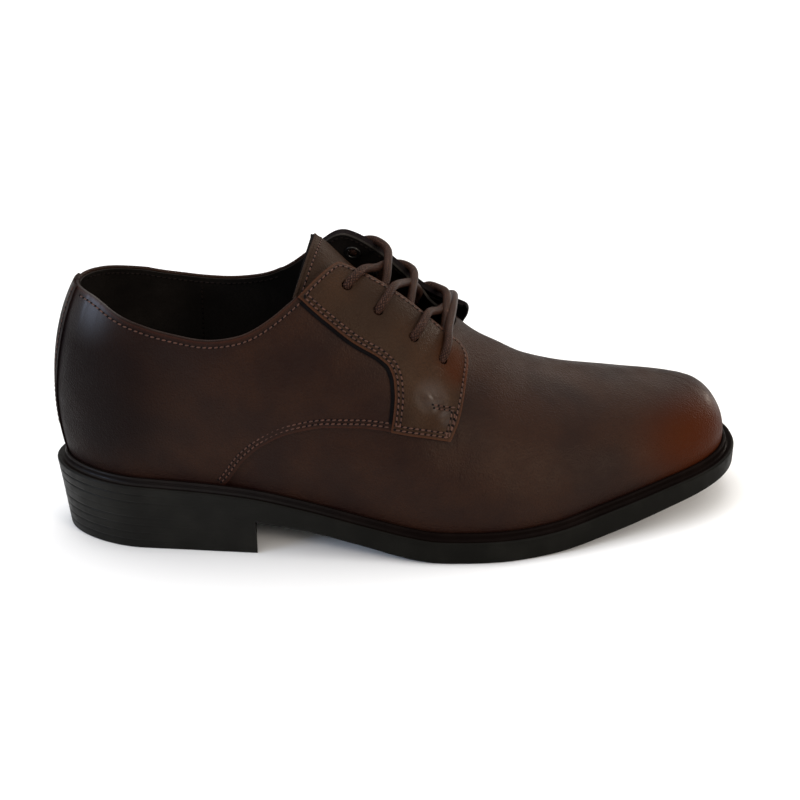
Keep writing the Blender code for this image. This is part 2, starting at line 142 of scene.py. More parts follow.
class RidgeRow(NamedTuple):
    """Station of the ridge over a station of the sole."""

    station: float
    ridge: float


class PointRow(NamedTuple):
    """A point of a seam, by its station and height on the upper."""

    station: float
    height: float


class OffsetRow(NamedTuple):
    """A step aside and a step up, such as a point of a profile."""

    aside: float
    up: float


class StripRow(NamedTuple):
    """Half width of the back strip, as a step, at a share of the back's height."""

    station: float
    step: float


class DentRow(NamedTuple):
    """Soft trough (negative depth) or ridge in the leather."""

    station: float
    height: float
    angle: float
    length: float
    width: float
    depth: float


class Form(NamedTuple):
    """Cross curves that a layer lies on, and how far their feet lie inside the sole's outline."""

    table: tuple[SectionRow, ...]
    inset: float


def rows_of(kind: type, numbers: Sequence[tuple]) -> tuple:
    """Rows of one kind from their numbers."""
    return tuple(kind(*row) for row in numbers)


SOLE_PLAN = rows_of(PairRow, (
    (0.000, 0.0255, 0.0255), (0.033, 0.0320, 0.0308), (0.057, 0.0366, 0.0332), (0.090, 0.0437, 0.0325),
    (0.125, 0.0524, 0.0318), (0.150, 0.0590, 0.0340), (0.175, 0.0614, 0.0385), (0.200, 0.0575, 0.0412),
    (0.230, 0.0506, 0.0412), (0.256, 0.0482, 0.0402), (0.284, 0.0488, 0.0415),
))
SOLE_EDGE = rows_of(EdgeRow, (
    (0.000, 0.0310, 0.0190), (0.036, 0.0288, 0.0180), (0.075, 0.0256, 0.0148), (0.100, 0.0208, 0.0112),
    (0.122, 0.0154, 0.0060), (0.140, 0.0116, 0.0016), (0.154, 0.0098, 0.0000), (0.190, 0.0096, 0.0000),
    (0.222, 0.0136, 0.0034), (0.250, 0.0182, 0.0086), (0.284, 0.0222, 0.0140),
))
UPPER = rows_of(SectionRow, (
    (0.039, 0.1240, 0.0000, 12.5, 0.40, 0.90, 0.0), (0.070, 0.1290, 0.0000, 10.0, 0.44, 0.95, 0.0),
    (0.100, 0.1260, 0.0000, 9.0, 0.46, 0.80, 0.0015), (0.125, 0.1165, 0.0005, 9.0, 0.48, 0.68, 0.0098),
    (0.140, 0.1070, 0.0010, 9.0, 0.48, 0.62, 0.0076), (0.150, 0.0985, 0.0010, 9.0, 0.48, 0.58, 0.0048),
    (0.160, 0.0880, 0.0008, 9.0, 0.48, 0.54, 0.0036), (0.168, 0.0802, 0.0005, 9.0, 0.49, 0.51, 0.0),
    (0.176, 0.0738, 0.0000, 9.0, 0.50, 0.50, 0.0), (0.205, 0.0592, -0.0015, 8.0, 0.52, 0.54, 0.0),
    (0.230, 0.0543, -0.0015, 9.0, 0.54, 0.58, 0.0), (0.253, 0.0510, -0.0005, 12.0, 0.55, 0.64, 0.0),
))
TONGUE = rows_of(SectionRow, (
    (0.096, 0.1250, 0.0, 9.0, 0.46, 0.62, 0.0), (0.110, 0.1210, 0.0, 9.0, 0.46, 0.60, 0.0),
    (0.126, 0.1050, 0.0, 9.0, 0.46, 0.56, 0.0), (0.140, 0.0945, 0.0, 9.0, 0.46, 0.54, 0.0),
    (0.155, 0.0825, 0.0, 9.0, 0.46, 0.52, 0.0), (0.165, 0.0742, 0.0, 9.0, 0.47, 0.51, 0.0),
    (0.176, 0.0703, 0.0, 9.0, 0.48, 0.50, 0.0), (0.186, 0.0639, 0.0, 9.0, 0.48, 0.50, 0.0),
))
RIDGE = rows_of(RidgeRow, (
    (0.000, 0.039), (0.030, 0.048), (0.070, 0.071), (0.095, 0.095), (0.120, 0.120), (0.180, 0.180),
    (0.205, 0.205), (0.255, 0.2375), (0.284, 0.2545),
))
COLLAR = rows_of(PairRow, (
    (0.000, 0.1068, 0.1068), (0.012, 0.1038, 0.1058), (0.018, 0.1012, 0.1048), (0.025, 0.0985, 0.1034),
    (0.038, 0.0945, 0.1006), (0.050, 0.0920, 0.0980), (0.064, 0.0900, 0.0956), (0.078, 0.0917, 0.0944),
    (0.090, 0.0975, 0.0956), (0.100, 0.1045, 0.1000), (0.109, 0.1118, 0.1080), (0.117, 0.1175, 0.1165),
    (0.125, 0.1300, 0.1300),
))
THROAT = rows_of(PairRow, (
    (0.100, -0.0205, 0.0185), (0.118, -0.0168, 0.0140), (0.130, -0.0173, 0.0130), (0.143, -0.0183, 0.0127),
    (0.155, -0.0189, 0.0125), (0.175, -0.0168, 0.0120),
))
QUARTER_FOOT = rows_of(PointRow, (
    (0.0660, 0.0262), (0.0699, 0.0299), (0.0769, 0.0402), (0.0854, 0.0479), (0.0956, 0.0532),
    (0.1114, 0.0562), (0.1220, 0.0562), (0.1459, 0.0525), (0.1580, 0.0494),
))
QUARTER_FRONT = rows_of(PointRow, (
    (0.1580, 0.0494), (0.1619, 0.0562), (0.1643, 0.0623), (0.1661, 0.0675), (0.1680, 0.0725),
    (0.1687, 0.0757),
))
FACING_REAR = rows_of(PointRow, (
    (0.1018, 0.1058), (0.1082, 0.0998), (0.1129, 0.0958), (0.1220, 0.0883), (0.1321, 0.0819),
    (0.1357, 0.0781), (0.1371, 0.0731), (0.1372, 0.0685), (0.1360, 0.0594), (0.1350, 0.0545),
))
EYELETS = rows_of(PointRow, (
    (0.1209, 0.1069), (0.1325, 0.0974), (0.1457, 0.0864), (0.1568, 0.0764),
))
TACKS = (
    (PointRow(0.1515, 0.0634), PointRow(0.1608, 0.0604)),
    (PointRow(0.1520, 0.0622), PointRow(0.1602, 0.0594)),
    (PointRow(0.1588, 0.0592), PointRow(0.1560, 0.0512)),
    (PointRow(0.1602, 0.0588), PointRow(0.1572, 0.0510)),
)
BACK_STRIP = rows_of(StripRow, (
    (0.00, 0.020), (0.22, 0.027), (0.34, 0.042), (0.50, 0.048), (0.60, 0.046), (0.72, 0.038),
))
DENTS = rows_of(DentRow, (
    (0.1512, 0.0652, 125.0, 0.0052, 0.0024, 0.00150), (0.1558, 0.0620, 162.0, 0.0050, 0.0022, -0.00110),
    (0.1542, 0.0572, 20.0, 0.0044, 0.0020, 0.00140), (0.1470, 0.0595, 50.0, 0.0080, 0.0030, -0.00045),
    (0.1430, 0.0560, 10.0, 0.0060, 0.0020, 0.00030), (0.0480, 0.0800, -35.0, 0.0260, 0.0090, -0.00040),
    (0.0760, 0.0660, -40.0, 0.0300, 0.0100, 0.00035), (0.1020, 0.0780, -50.0, 0.0240, 0.0080, -0.00030),
    (0.1880, 0.0520, 62.0, 0.0220, 0.0060, -0.00030), (0.1980, 0.0480, 62.0, 0.0220, 0.0070, 0.00025),
))
SOFT_REACH = 0.006
SAMPLE_SPACE = 0.00005
SOFT_TAPS = ((-1.0, 0.05), (-0.66, 0.1), (-0.33, 0.2), (0.0, 0.3), (0.33, 0.2), (0.66, 0.1), (1.0, 0.05))
FEATHER_INSET = 0.0055
WALL = 0.0022
SEAT_GAP = 0.0003
TONGUE_GAPS = 2.2
UPPER_FORM = Form(UPPER, FEATHER_INSET)
TONGUE_FORM = Form(TONGUE, FEATHER_INSET + WALL + TONGUE_GAPS * SEAT_GAP)
MERGE_DISTANCE = 2e-6
SLIVER = 1e-7


def monotone(table: Sequence[NamedTuple], column: str, station: Array) -> Array:
    """Read a table's column through a monotone cubic.

    Args:
        table: Rows with a station each.
        column: Name of the value to read.
        station: Stations to read it at.

    Returns:
        The values at those stations.
    """
    knots = np.array([row.station for row in table])
    values = np.array([getattr(row, column) for row in table])
    at = np.clip(np.asarray(station, float), knots[0], knots[-1])
    width = np.diff(knots)
    rise = np.diff(values) / width
    tangent = np.zeros(len(knots))
    tangent[0] = rise[0]
    tangent[-1] = rise[-1]
    for k in range(1, len(knots) - 1):
        if rise[k - 1] * rise[k] > 0:
            before = 2 * width[k] + width[k - 1]
            after = width[k] + 2 * width[k - 1]
            tangent[k] = (before + after) / (before / rise[k - 1] + after / rise[k])
    cell = np.clip(np.searchsorted(knots, at, side="right") - 1, 0, len(knots) - 2)
    u = (at - knots[cell]) / width[cell]
    ends = values[cell] * (1 + 2 * u) * (1 - u) ** 2 + values[cell + 1] * u * u * (3 - 2 * u)
    slopes = tangent[cell] * u * (1 - u) ** 2 - tangent[cell + 1] * u * u * (1 - u)
    return ends + width[cell] * slopes


@lru_cache(maxsize=None)
def soft_samples(table: tuple, column: str) -> Path:
    """Close samples of a table's column, averaged over a short run so that gloss flows evenly over its rows.

    Args:
        table: Rows with a station each.
        column: Name of the value to read.

    Returns:
        Stations and values.
    """
    station = np.arange(table[0].station - SOFT_REACH, table[-1].station + SOFT_REACH, SAMPLE_SPACE)
    total = np.zeros_like(station)
    for share, weight in SOFT_TAPS:
        total = total + weight * monotone(table, column, station + share * SOFT_REACH)
    return station, total


def softened(table: tuple, column: str, station: Array) -> Array:
    """Softened values of a table's column at stations."""
    return np.interp(np.asarray(station, float), *soft_samples(table, column))


def ease(low: float, high: float, x: Array) -> Array:
    """Soft step of x, from 0 at low to 1 at high."""
    u = np.clip((np.asarray(x, float) - low) / (high - low), 0, 1)
    return u * u * (3 - 2 * u)


def bell(x: Array, width: float) -> Array:
    """Bell curve of x that is 1 at 0 and fades over a width."""
    return np.exp(-(x / width) ** 2)


def unit(vectors: Array) -> Array:
    """Vectors scaled to length 1."""
    return vectors / np.maximum(np.linalg.norm(vectors, axis=-1, keepdims=True), 1e-12)


def nearest(points: Array, line: Array) -> Array:
    """Distance from each point to a line given by close samples.

    Args:
        points: Points in any grid, with their coordinates last.
        line: Samples of the line.

    Returns:
        One distance for each point.
    """
    flat = points.reshape(-1, 3)
    best = np.full(len(flat), np.inf)
    for sample in line:
        best = np.minimum(best, ((flat - sample) ** 2).sum(axis=1))
    return np.sqrt(best).reshape(points.shape[:-1])


def run_of(line: Array) -> Array:
    """Distance along a line at each of its points."""
    return np.concatenate([[0.0], np.cumsum(np.linalg.norm(np.diff(line, axis=0), axis=1))])


def between(one: Array, two: Array, shares: Array) -> Array:
    """Rows of points at shares of the way from one line to another."""
    part = shares[:, None, None]
    return one[None] * (1 - part) + two[None] * part


def patch(top: Array, bottom: Array, left: Array, right: Array) -> Array:
    """Smooth surface between four edges that meet at their ends.

    Args:
        top: Edge of the first row.
        bottom: Edge of the last row.
        left: Edge of the first column.
        right: Edge of the last column.

    Returns:
        Values by row and column.
    """
    u = np.linspace(0, 1, len(top))[None, :, None]
    v = np.linspace(0, 1, len(left))[:, None, None]
    ruled = top[None] * (1 - v) + bottom[None] * v + left[:, None] * (1 - u) + right[:, None] * u
    upper = top[0] * (1 - u) * (1 - v) + top[-1] * u * (1 - v)
    return ruled - (upper + bottom[0] * (1 - u) * v + bottom[-1] * u * v)


@dataclass(frozen=True)
class Section:
    """Control points of the shoe's cross curves, one curve for each step."""

    foot: Array
    low: Array
    high: Array
    ridge: Array

    def at(self, a: Array) -> Array:
        """Points at shares a of the curves, from the feather line (0) to the ridge (1)."""
        c = np.asarray(a, float)[..., None]
        b = 1 - c
        return self.foot * b ** 3 + self.low * 3 * b * b * c + self.high * 3 * b * c * c + self.ridge * c ** 3

    def rise(self, a: Array) -> Array:
        """Directions up the curves at shares a."""
        c = np.asarray(a, float)[..., None]
        b = 1 - c
        first = (self.low - self.foot) * b * b + (self.high - self.low) * 2 * b * c
        return (first + (self.ridge - self.high) * c * c) * 3


@dataclass(frozen=True)
class Last:
    """Form that every piece of the shoe is laid on."""

    length: float = 0.284
    heel_centre: float = 0.041
    heel_round: float = 0.034
    toe_round: float = 0.084
    toe_fullness: float = 0.42
    heel_fan: Span = (0.030, 0.070)
    toe_fan: Span = (0.195, 0.255)
    throat_start: float = 0.098
    throat_round_from: float = 0.155
    throat_end: float = 0.1665
    throat_margin: float = 0.9
    widest_share: float = 0.3
    collar_blend: int = 14
    curl: float = 0.0090
    curl_spot: PointRow = PointRow(0.1725, 0.0770)
    curl_reach: float = 0.0135
    small: float = 1e-4
    halvings: int = 36
    corrections: int = 6

    def station(self, t: Array) -> Array:
        """Station on the sole's axis for steps t from heel (0) to toe (1)."""
        return self.length * (1 - np.cos(np.pi * np.asarray(t, float))) / 2

    def step(self, station: Array) -> Array:
        """Steps t that lie at stations."""
        return np.arccos(np.clip(1 - 2 * np.asarray(station, float) / self.length, -1, 1)) / np.pi

    def plan(self, side: Side, t: Array) -> Path:
        """One side of the sole's outline, seen from above.

        Args:
            side: Side of the shoe.
            t: Steps along it.

        Returns:
            Stations and offsets along Y.
        """
        x = self.station(t)
        back = np.clip(1 - x / self.heel_round, 0, 1)
        front = np.clip((x - self.length + self.toe_round) / self.toe_round, 0, 1)
        ends = np.sqrt(1 - back ** 2) * (1 - front ** 2) ** self.toe_fullness
        return x, side.value * softened(SOLE_PLAN, side.word, x) * ends

    def outline(self, side: Side, t: Array, inset: Array) -> tuple[Array, Array, Array, Array]:
        """Outline moved in by an inset.

        Args:
            side: Side of the shoe.
            t: Steps along it.
            inset: Distance inwards.

        Returns:
            Stations, offsets along Y, and the two parts of the outward direction.
        """
        t = np.asarray(t, float)
        x, y = self.plan(side, t)
        x0, y0 = self.plan(side, np.clip(t - self.small, 0, 1))
        x1, y1 = self.plan(side, np.clip(t + self.small, 0, 1))
        run = np.hypot(x1 - x0, y1 - y0)
        nx = -side.value * (y1 - y0) / run
        ny = side.value * (x1 - x0) / run
        ends = (t <= self.small) | (t >= 1 - self.small)
        nx = np.where(ends, np.where(t < 0.5, -1.0, 1.0), nx)
        ny = np.where(ends, 0.0, ny)
        return x - inset * nx, y - inset * ny, nx, ny

    def fall(self, station: Array, form: Form) -> Array:
        """Slope of a form's ridge at stations."""
        ahead = softened(form.table, "height", station + self.small)
        return (ahead - softened(form.table, "height", station - self.small)) / (2 * self.small)

    def section(self, side: Side, t: Array, form: Form = UPPER_FORM) -> Section:
        """Cross curves of the upper, or of the tongue.

        Args:
            side: Side of the shoe.
            t: Steps along it.
            form: Form to follow.

        Returns:
            The curves' control points.
        """
        table = form.table
        fx, fy, nx, ny = self.outline(side, t, form.inset)
        x = self.station(t)
        fz = softened(SOLE_EDGE, "rim", x) + SEAT_GAP
        rx = softened(RIDGE, "ridge", x)
        ry = softened(table, "offset", rx)
        rz = softened(table, "height", rx)
        if side is Side.MEDIAL:
            rz = rz + softened(table, "flare", rx)
        lean = np.radians(softened(table, "lean", rx))
        fan = 1 - ease(*self.heel_fan, x) + ease(*self.toe_fan, x)
        dx = nx * fan
        dy = np.where(fan > 0, ny, side.value)
        size = np.hypot(dx, dy)
        dx = dx / size
        dy = dy / size
        wall = softened(table, "wall", rx) * (rz - fz)
        crown = softened(table, "crown", rx) * np.hypot(rx - fx, ry - fy)
        foot = np.stack([fx, fy, fz], -1)
        ridge = np.stack([rx, ry, rz], -1)
        up = np.stack([dx * np.sin(lean), dy * np.sin(lean), np.cos(lean)], -1)
        out = np.stack([dx, dy, self.fall(rx, form) * dx], -1)
        return Section(foot, foot + up * wall[..., None], ridge + out * crown[..., None], ridge)

    def on(self, side: Side, t: Array, a: Array) -> Array:
        """Points on the upper's form at steps t and shares a."""
        return self.section(side, t).at(a)

    def curled(self, side: Side, points: Array) -> Array:
        """Lift of the medial facing's free front corner, which stands off the vamp."""
        if side is Side.LATERAL:
            return np.zeros(points.shape[:-1])
        ahead = (points[..., 0] - self.curl_spot.station) / self.curl_reach
        above = (points[..., 2] - self.curl_spot.height) / self.curl_reach
        return self.curl * np.exp(-ahead ** 2 - above ** 2)

    def lay(self, side: Side, t: Array, a: Array, lift: Array = 0.0, form: Form = UPPER_FORM) -> Array:
        """Points on a form, lifted off it along its outward direction.

        Args:
            side: Side of the shoe.
            t: Steps along it, one for each column of a.
            a: Shares up the cross curves.
            lift: Distance outwards.
            form: Form to follow.

        Returns:
            Points with their coordinates last.
        """
        at = self.section(side, t, form).at(a)
        lift = np.broadcast_to(np.asarray(lift, float), at.shape[:-1])
        return at + self.normal(side, t, a, form) * lift[..., None]

    def normal(self, side: Side, t: Array, a: Array, form: Form = UPPER_FORM) -> Array:
        """Outward directions of a form, level across its centre lines.

        Args:
            side: Side of the shoe.
            t: Steps along it, one for each column of a.
            a: Shares up the cross curves.
            form: Form to follow.

        Returns:
            Unit vectors.
        """
        t = np.asarray(t, float)
        a = np.asarray(a, float)
        ahead = self.section(side, np.clip(t + self.small, 0, 1), form).at(a)
        behind = self.section(side, np.clip(t - self.small, 0, 1), form).at(a)
        here = self.section(side, t, form)
        n = np.cross(ahead - behind, here.rise(np.clip(a, 0, 1 - self.small))) * -side.value
        ends = np.broadcast_to((t < self.small) | (t > 1 - self.small), a.shape)
        n[..., 1] = np.where(ends, 0.0, n[..., 1])
        fall = self.fall(here.ridge[..., 0], form)
        crest = np.stack([-fall, 0 * fall, 1 + 0 * fall], -1)
        return unit(np.where((a > 1 - 2 * self.small)[..., None], crest, n))

    def reach(self, side: Side, t: Array, value: Array, axis: Axis) -> Array:
        """Share of each cross curve where a coordinate meets a value.

        Args:
            side: Side of the shoe.
            t: Steps along it.
            value: Height or offset along Y to meet.
            axis: Coordinate that is compared.

        Returns:
            One share for each step.
        """
        curves = self.section(side, t)
        low = np.zeros_like(np.asarray(t, float))
        high = np.ones_like(low)
        sign = 1.0 if axis is Axis.UP else -side.value
        for _ in range(self.halvings):
            middle = (low + high) / 2
            below = (curves.at(middle)[..., axis] - value) * sign < 0
            low = np.where(below, middle, low)
            high = np.where(below, high, middle)
        return (low + high) / 2

    def top(self, side: Side, t: Array, rounded: bool = False) -> Array:
        """Share where the upper ends: along the collar, then along the throat.

        Args:
            side: Side of the shoe.
            t: Steps along it.
            rounded: Close the throat's front end in an arc.

        Returns:
            One share for each step.
        """
        x = self.station(t)
        collar = self.reach(side, t, softened(COLLAR, side.word, x), Axis.UP)
        edge = softened(THROAT, side.word, x)
        middle = softened(UPPER, "offset", x)
        if rounded:
            into = np.clip((x - self.throat_round_from) / (self.throat_end - self.throat_round_from), 0, 1)
            edge = middle + (edge - middle) * np.sqrt(1 - into ** 2)
        widest = self.on(side, t, np.full_like(x, self.widest_share))[..., 1]
        edge = np.where(np.abs(edge) < np.abs(widest), edge, widest * self.throat_margin)
        throat = np.where(x < self.throat_start, 1.0, self.reach(side, t, edge, Axis.ACROSS))
        share = (collar ** -self.collar_blend + throat ** -self.collar_blend - 1) ** (-1 / self.collar_blend)
        return np.where(x >= self.throat_end, 1.0, share) if rounded else share

    def locate(self, side: Side, rows: Sequence[PointRow]) -> Path:
        """Steps and shares of seam points.

        Args:
            side: Side of the shoe.
            rows: Stations and heights on the upper.

        Returns:
            Steps and shares.
        """
        station = np.array([row.station for row in rows])
        height = np.array([row.height for row in rows])
        t = self.step(station)
        a = np.zeros_like(t)
        for _ in range(self.corrections):
            a = self.reach(side, t, height, Axis.UP)
            t = self.step(self.station(t) + station - self.on(side, t, a)[..., 0])
        return t, a

    def shifted(self, side: Side, path: Path, distance: float) -> Path:
        """A path on the form moved sideways within the surface.

        Args:
            side: Side of the shoe.
            path: Steps and shares.
            distance: How far, to the left of travel when seen from outside.

        Returns:
            Steps and shares of the moved path.
        """
        t, a = path
        small = self.small
        ahead = unit(np.gradient(self.lay(side, t, a), axis=0))
        left = np.cross(self.normal(side, t, a), ahead) * distance
        by_t = (self.on(side, t + small, a) - self.on(side, t - small, a)) / (2 * small)
        by_a = self.section(side, t).rise(a)
        tt = (by_t * by_t).sum(-1)
        aa = (by_a * by_a).sum(-1)
        ta = (by_t * by_a).sum(-1)
        lt = (left * by_t).sum(-1)
        la = (left * by_a).sum(-1)
        size = tt * aa - ta * ta
        return t + (lt * aa - la * ta) / size, a + (la * tt - lt * ta) / size

    def evened(self, side: Side, path: Path, count: int) -> Path:
        """A path on the form read at a number of evenly spaced places.

        Args:
            side: Side of the shoe.
            path: Steps and shares.
            count: Number of places.

        Returns:
            Steps and shares of those places.
        """
        run = run_of(self.on(side, *path))
        at = np.linspace(0, run[-1], count)
        return np.interp(at, run, path[0]), np.interp(at, run, path[1])

    def spaced(self, side: Side, path: Path, pitch: float) -> Path:
        """A path on the form read at even spaces of about a pitch."""
        run = run_of(self.on(side, *path))
        return self.evened(side, path, max(2, int(round(run[-1] / pitch)) + 1))


def shown(name: str, bm: Mesh, *materials: Material) -> Piece:
    """Turn a mesh under construction into an object at the origin.

    Args:
        name: Name of the object.
        bm: Mesh, which is used up.
        materials: Material slots.

    Returns:
        The new object.
    """
    mesh = bpy.data.meshes.new(name)
    bm.to_mesh(mesh)
    bm.free()
    for material in materials:
        mesh.materials.append(material)
    made = bpy.data.objects.new(name, mesh)
    bpy.context.scene.collection.objects.link(made)
    return made


class Sheets:
    """Mesh under construction, made of flat grids laid onto curved places."""

    def __init__(self, last: Last) -> None:
        """Start an empty mesh on a last."""
        self.last = last
        self.bm = bmesh.new()
        self.seam = self.bm.verts.layers.float.new("seam")
        self.worn = self.bm.verts.layers.float.new("worn")
        self.uv = self.bm.loops.layers.uv.new("UVMap")

    def add(self, points: Array, flip: bool = False, seam: Array | None = None, uv: Array | None = None,
            slot: int = 0, worn: Array | None = None) -> None:
        """Lay a flat grid onto a grid of places.

        Args:
            points: Places by row and column.
            flip: Turn the faces over.
            seam: Nearness to a seam for each place, from 0 to 1, where the leather is darkened as painted
                shade with some dirt.
            uv: Flat coordinates for each place.
            slot: Material slot of the faces.
            worn: Nearness to a cut edge for each place, from 0 to 1, where the leather is lightened as a
                painted highlight.
        """
        rows, columns = points.shape[:2]
        made = bmesh.ops.create_grid(self.bm, x_segments=columns - 1, y_segments=rows - 1, size=0.5)
        spots = {}
        for vert in made["verts"]:
            j = round((vert.co.x + 0.5) * (columns - 1))
            i = round((vert.co.y + 0.5) * (rows - 1))
            spots[vert] = (i, j)
        faces = {face for vert in made["verts"] for face in vert.link_faces}
        for vert, (i, j) in spots.items():
            vert.co = points[i, j]
            vert.co.x -= self.last.heel_centre
            if seam is not None:
                vert[self.seam] = seam[i, j]
            if worn is not None:
                vert[self.worn] = worn[i, j]
        for face in faces:
            face.material_index = slot
            face.smooth = True
            if uv is not None:
                for loop in face.loops:
                    loop[self.uv].uv = uv[spots[loop.vert]]
        if flip:
            bmesh.ops.reverse_faces(self.bm, faces=list(faces))

    def even_ridge(self, start: float, width: float, rounds: int) -> None:
        """Join the two halves and even out their ridge.

        Args:
            start: Station where the evening starts.
            width: Distance from the middle that it reaches.
            rounds: Number of passes.
        """
        bmesh.ops.remove_doubles(self.bm, verts=self.bm.verts, dist=MERGE_DISTANCE)
        begin = start - self.last.heel_centre
        band = [v for v in self.bm.verts if v.co.x > begin and abs(v.co.y) < width and not v.is_boundary]
        every = {"use_axis_x": True, "use_axis_y": True, "use_axis_z": True}
        for _ in range(rounds):
            bmesh.ops.smooth_vert(self.bm, verts=band, factor=0.5, **every)

    def piece(self, name: str, *materials: Material) -> Piece:
        """Join neighbouring points and turn the mesh into an object."""
        bmesh.ops.remove_doubles(self.bm, verts=self.bm.verts, dist=MERGE_DISTANCE)
        bmesh.ops.dissolve_degenerate(self.bm, edges=self.bm.edges, dist=SLIVER)
        return shown(name, self.bm, *materials)


def thicken(piece: Piece, thickness: float, back_slot: int = 0) -> None:
    """Give a sheet whose faces point outwards its thickness inwards.

    Args:
        piece: Sheet.
        thickness: Thickness of the leather.
        back_slot: Material slot of its back and its cut edges.
    """
    wall = piece.modifiers.new("thickness", "SOLIDIFY")
    wall.thickness = thickness
    wall.offset = -1.0
    wall.material_offset = back_slot
    wall.material_offset_rim = back_slot


def round_edges(piece: Piece, width: float, segments: int = 2, angle: float = 55.0) -> None:
    """Round a piece's sharp edges.

    Args:
        piece: Piece with its thickness.
        width: Width of the rounding.
        segments: Faces across it.
        angle: Angle in degrees from which an edge is sharp.
    """
    rim = piece.modifiers.new("edge", "BEVEL")
    rim.width = width
    rim.segments = segments
    rim.limit_method = "ANGLE"
    rim.angle_limit = math.radians(angle)


def round_leather(piece: Piece, width: float) -> None:
    """Round a leather piece's cut edges and keep its face's gloss even."""
    round_edges(piece, width)
    piece.modifiers.new("even_gloss", "WEIGHTED_NORMAL").keep_sharp = True


def settle(piece: Piece) -> None:
    """Make a piece's modifiers part of its mesh."""
    bpy.context.view_layer.update()
    final = piece.evaluated_get(bpy.context.evaluated_depsgraph_get())
    mesh = bpy.data.meshes.new_from_object(final)
    piece.modifiers.clear()
    piece.data = mesh


def turn_out(piece: Piece) -> None:
    """Point a closed piece's faces outwards."""
    bm = bmesh.new()
    bm.from_mesh(piece.data)
    bmesh.ops.recalc_face_normals(bm, faces=bm.faces)
    bm.to_mesh(piece.data)
    bm.free()


def place(piece: Piece, slot: str, *nodes: str) -> Piece:
    """Fix a piece to the shoe and hide the solids of the frame that it stands for.

    Args:
        piece: Finished piece.
        slot: Material slot of the record; not used.
        nodes: Solids of the frame that it replaces.

    Returns:
        The same piece.
    """
    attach(piece, BODY)
    if nodes:
        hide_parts(*nodes)
    LOG.info("%s: %d faces", piece.name, len(piece.data.polygons))
    return piece


class NoiseRow(NamedTuple):
    """Cloudy pattern, by its clouds per metre and its octaves, and the band of it that is used."""

    scale: float
    detail: float
    low: float
    high: float


class ReliefRow(NamedTuple):
    """Fine relief from a cloudy pattern, with its height and how much of it shows."""

    scale: float
    detail: float
    depth: float
    strength: float


class PolishRow(NamedTuple):
    """Place on the shoe that is polished to a shine."""

    spot: Spot
    full: float
    none: float
    coat: float


class TintRow(NamedTuple):
    """Place on the shoe where the leather changes its tone and gloss."""

    spot: Spot
    full: float
    none: float
    colour: Colour
    share: float
    gloss: float
    squash: Spot = (1.0, 1.0, 1.0)


def scaled(colour: Colour, share: float) -> Colour:
    """A colour made lighter or darker."""
    return (*(share * value for value in colour[:3]), 1.0)


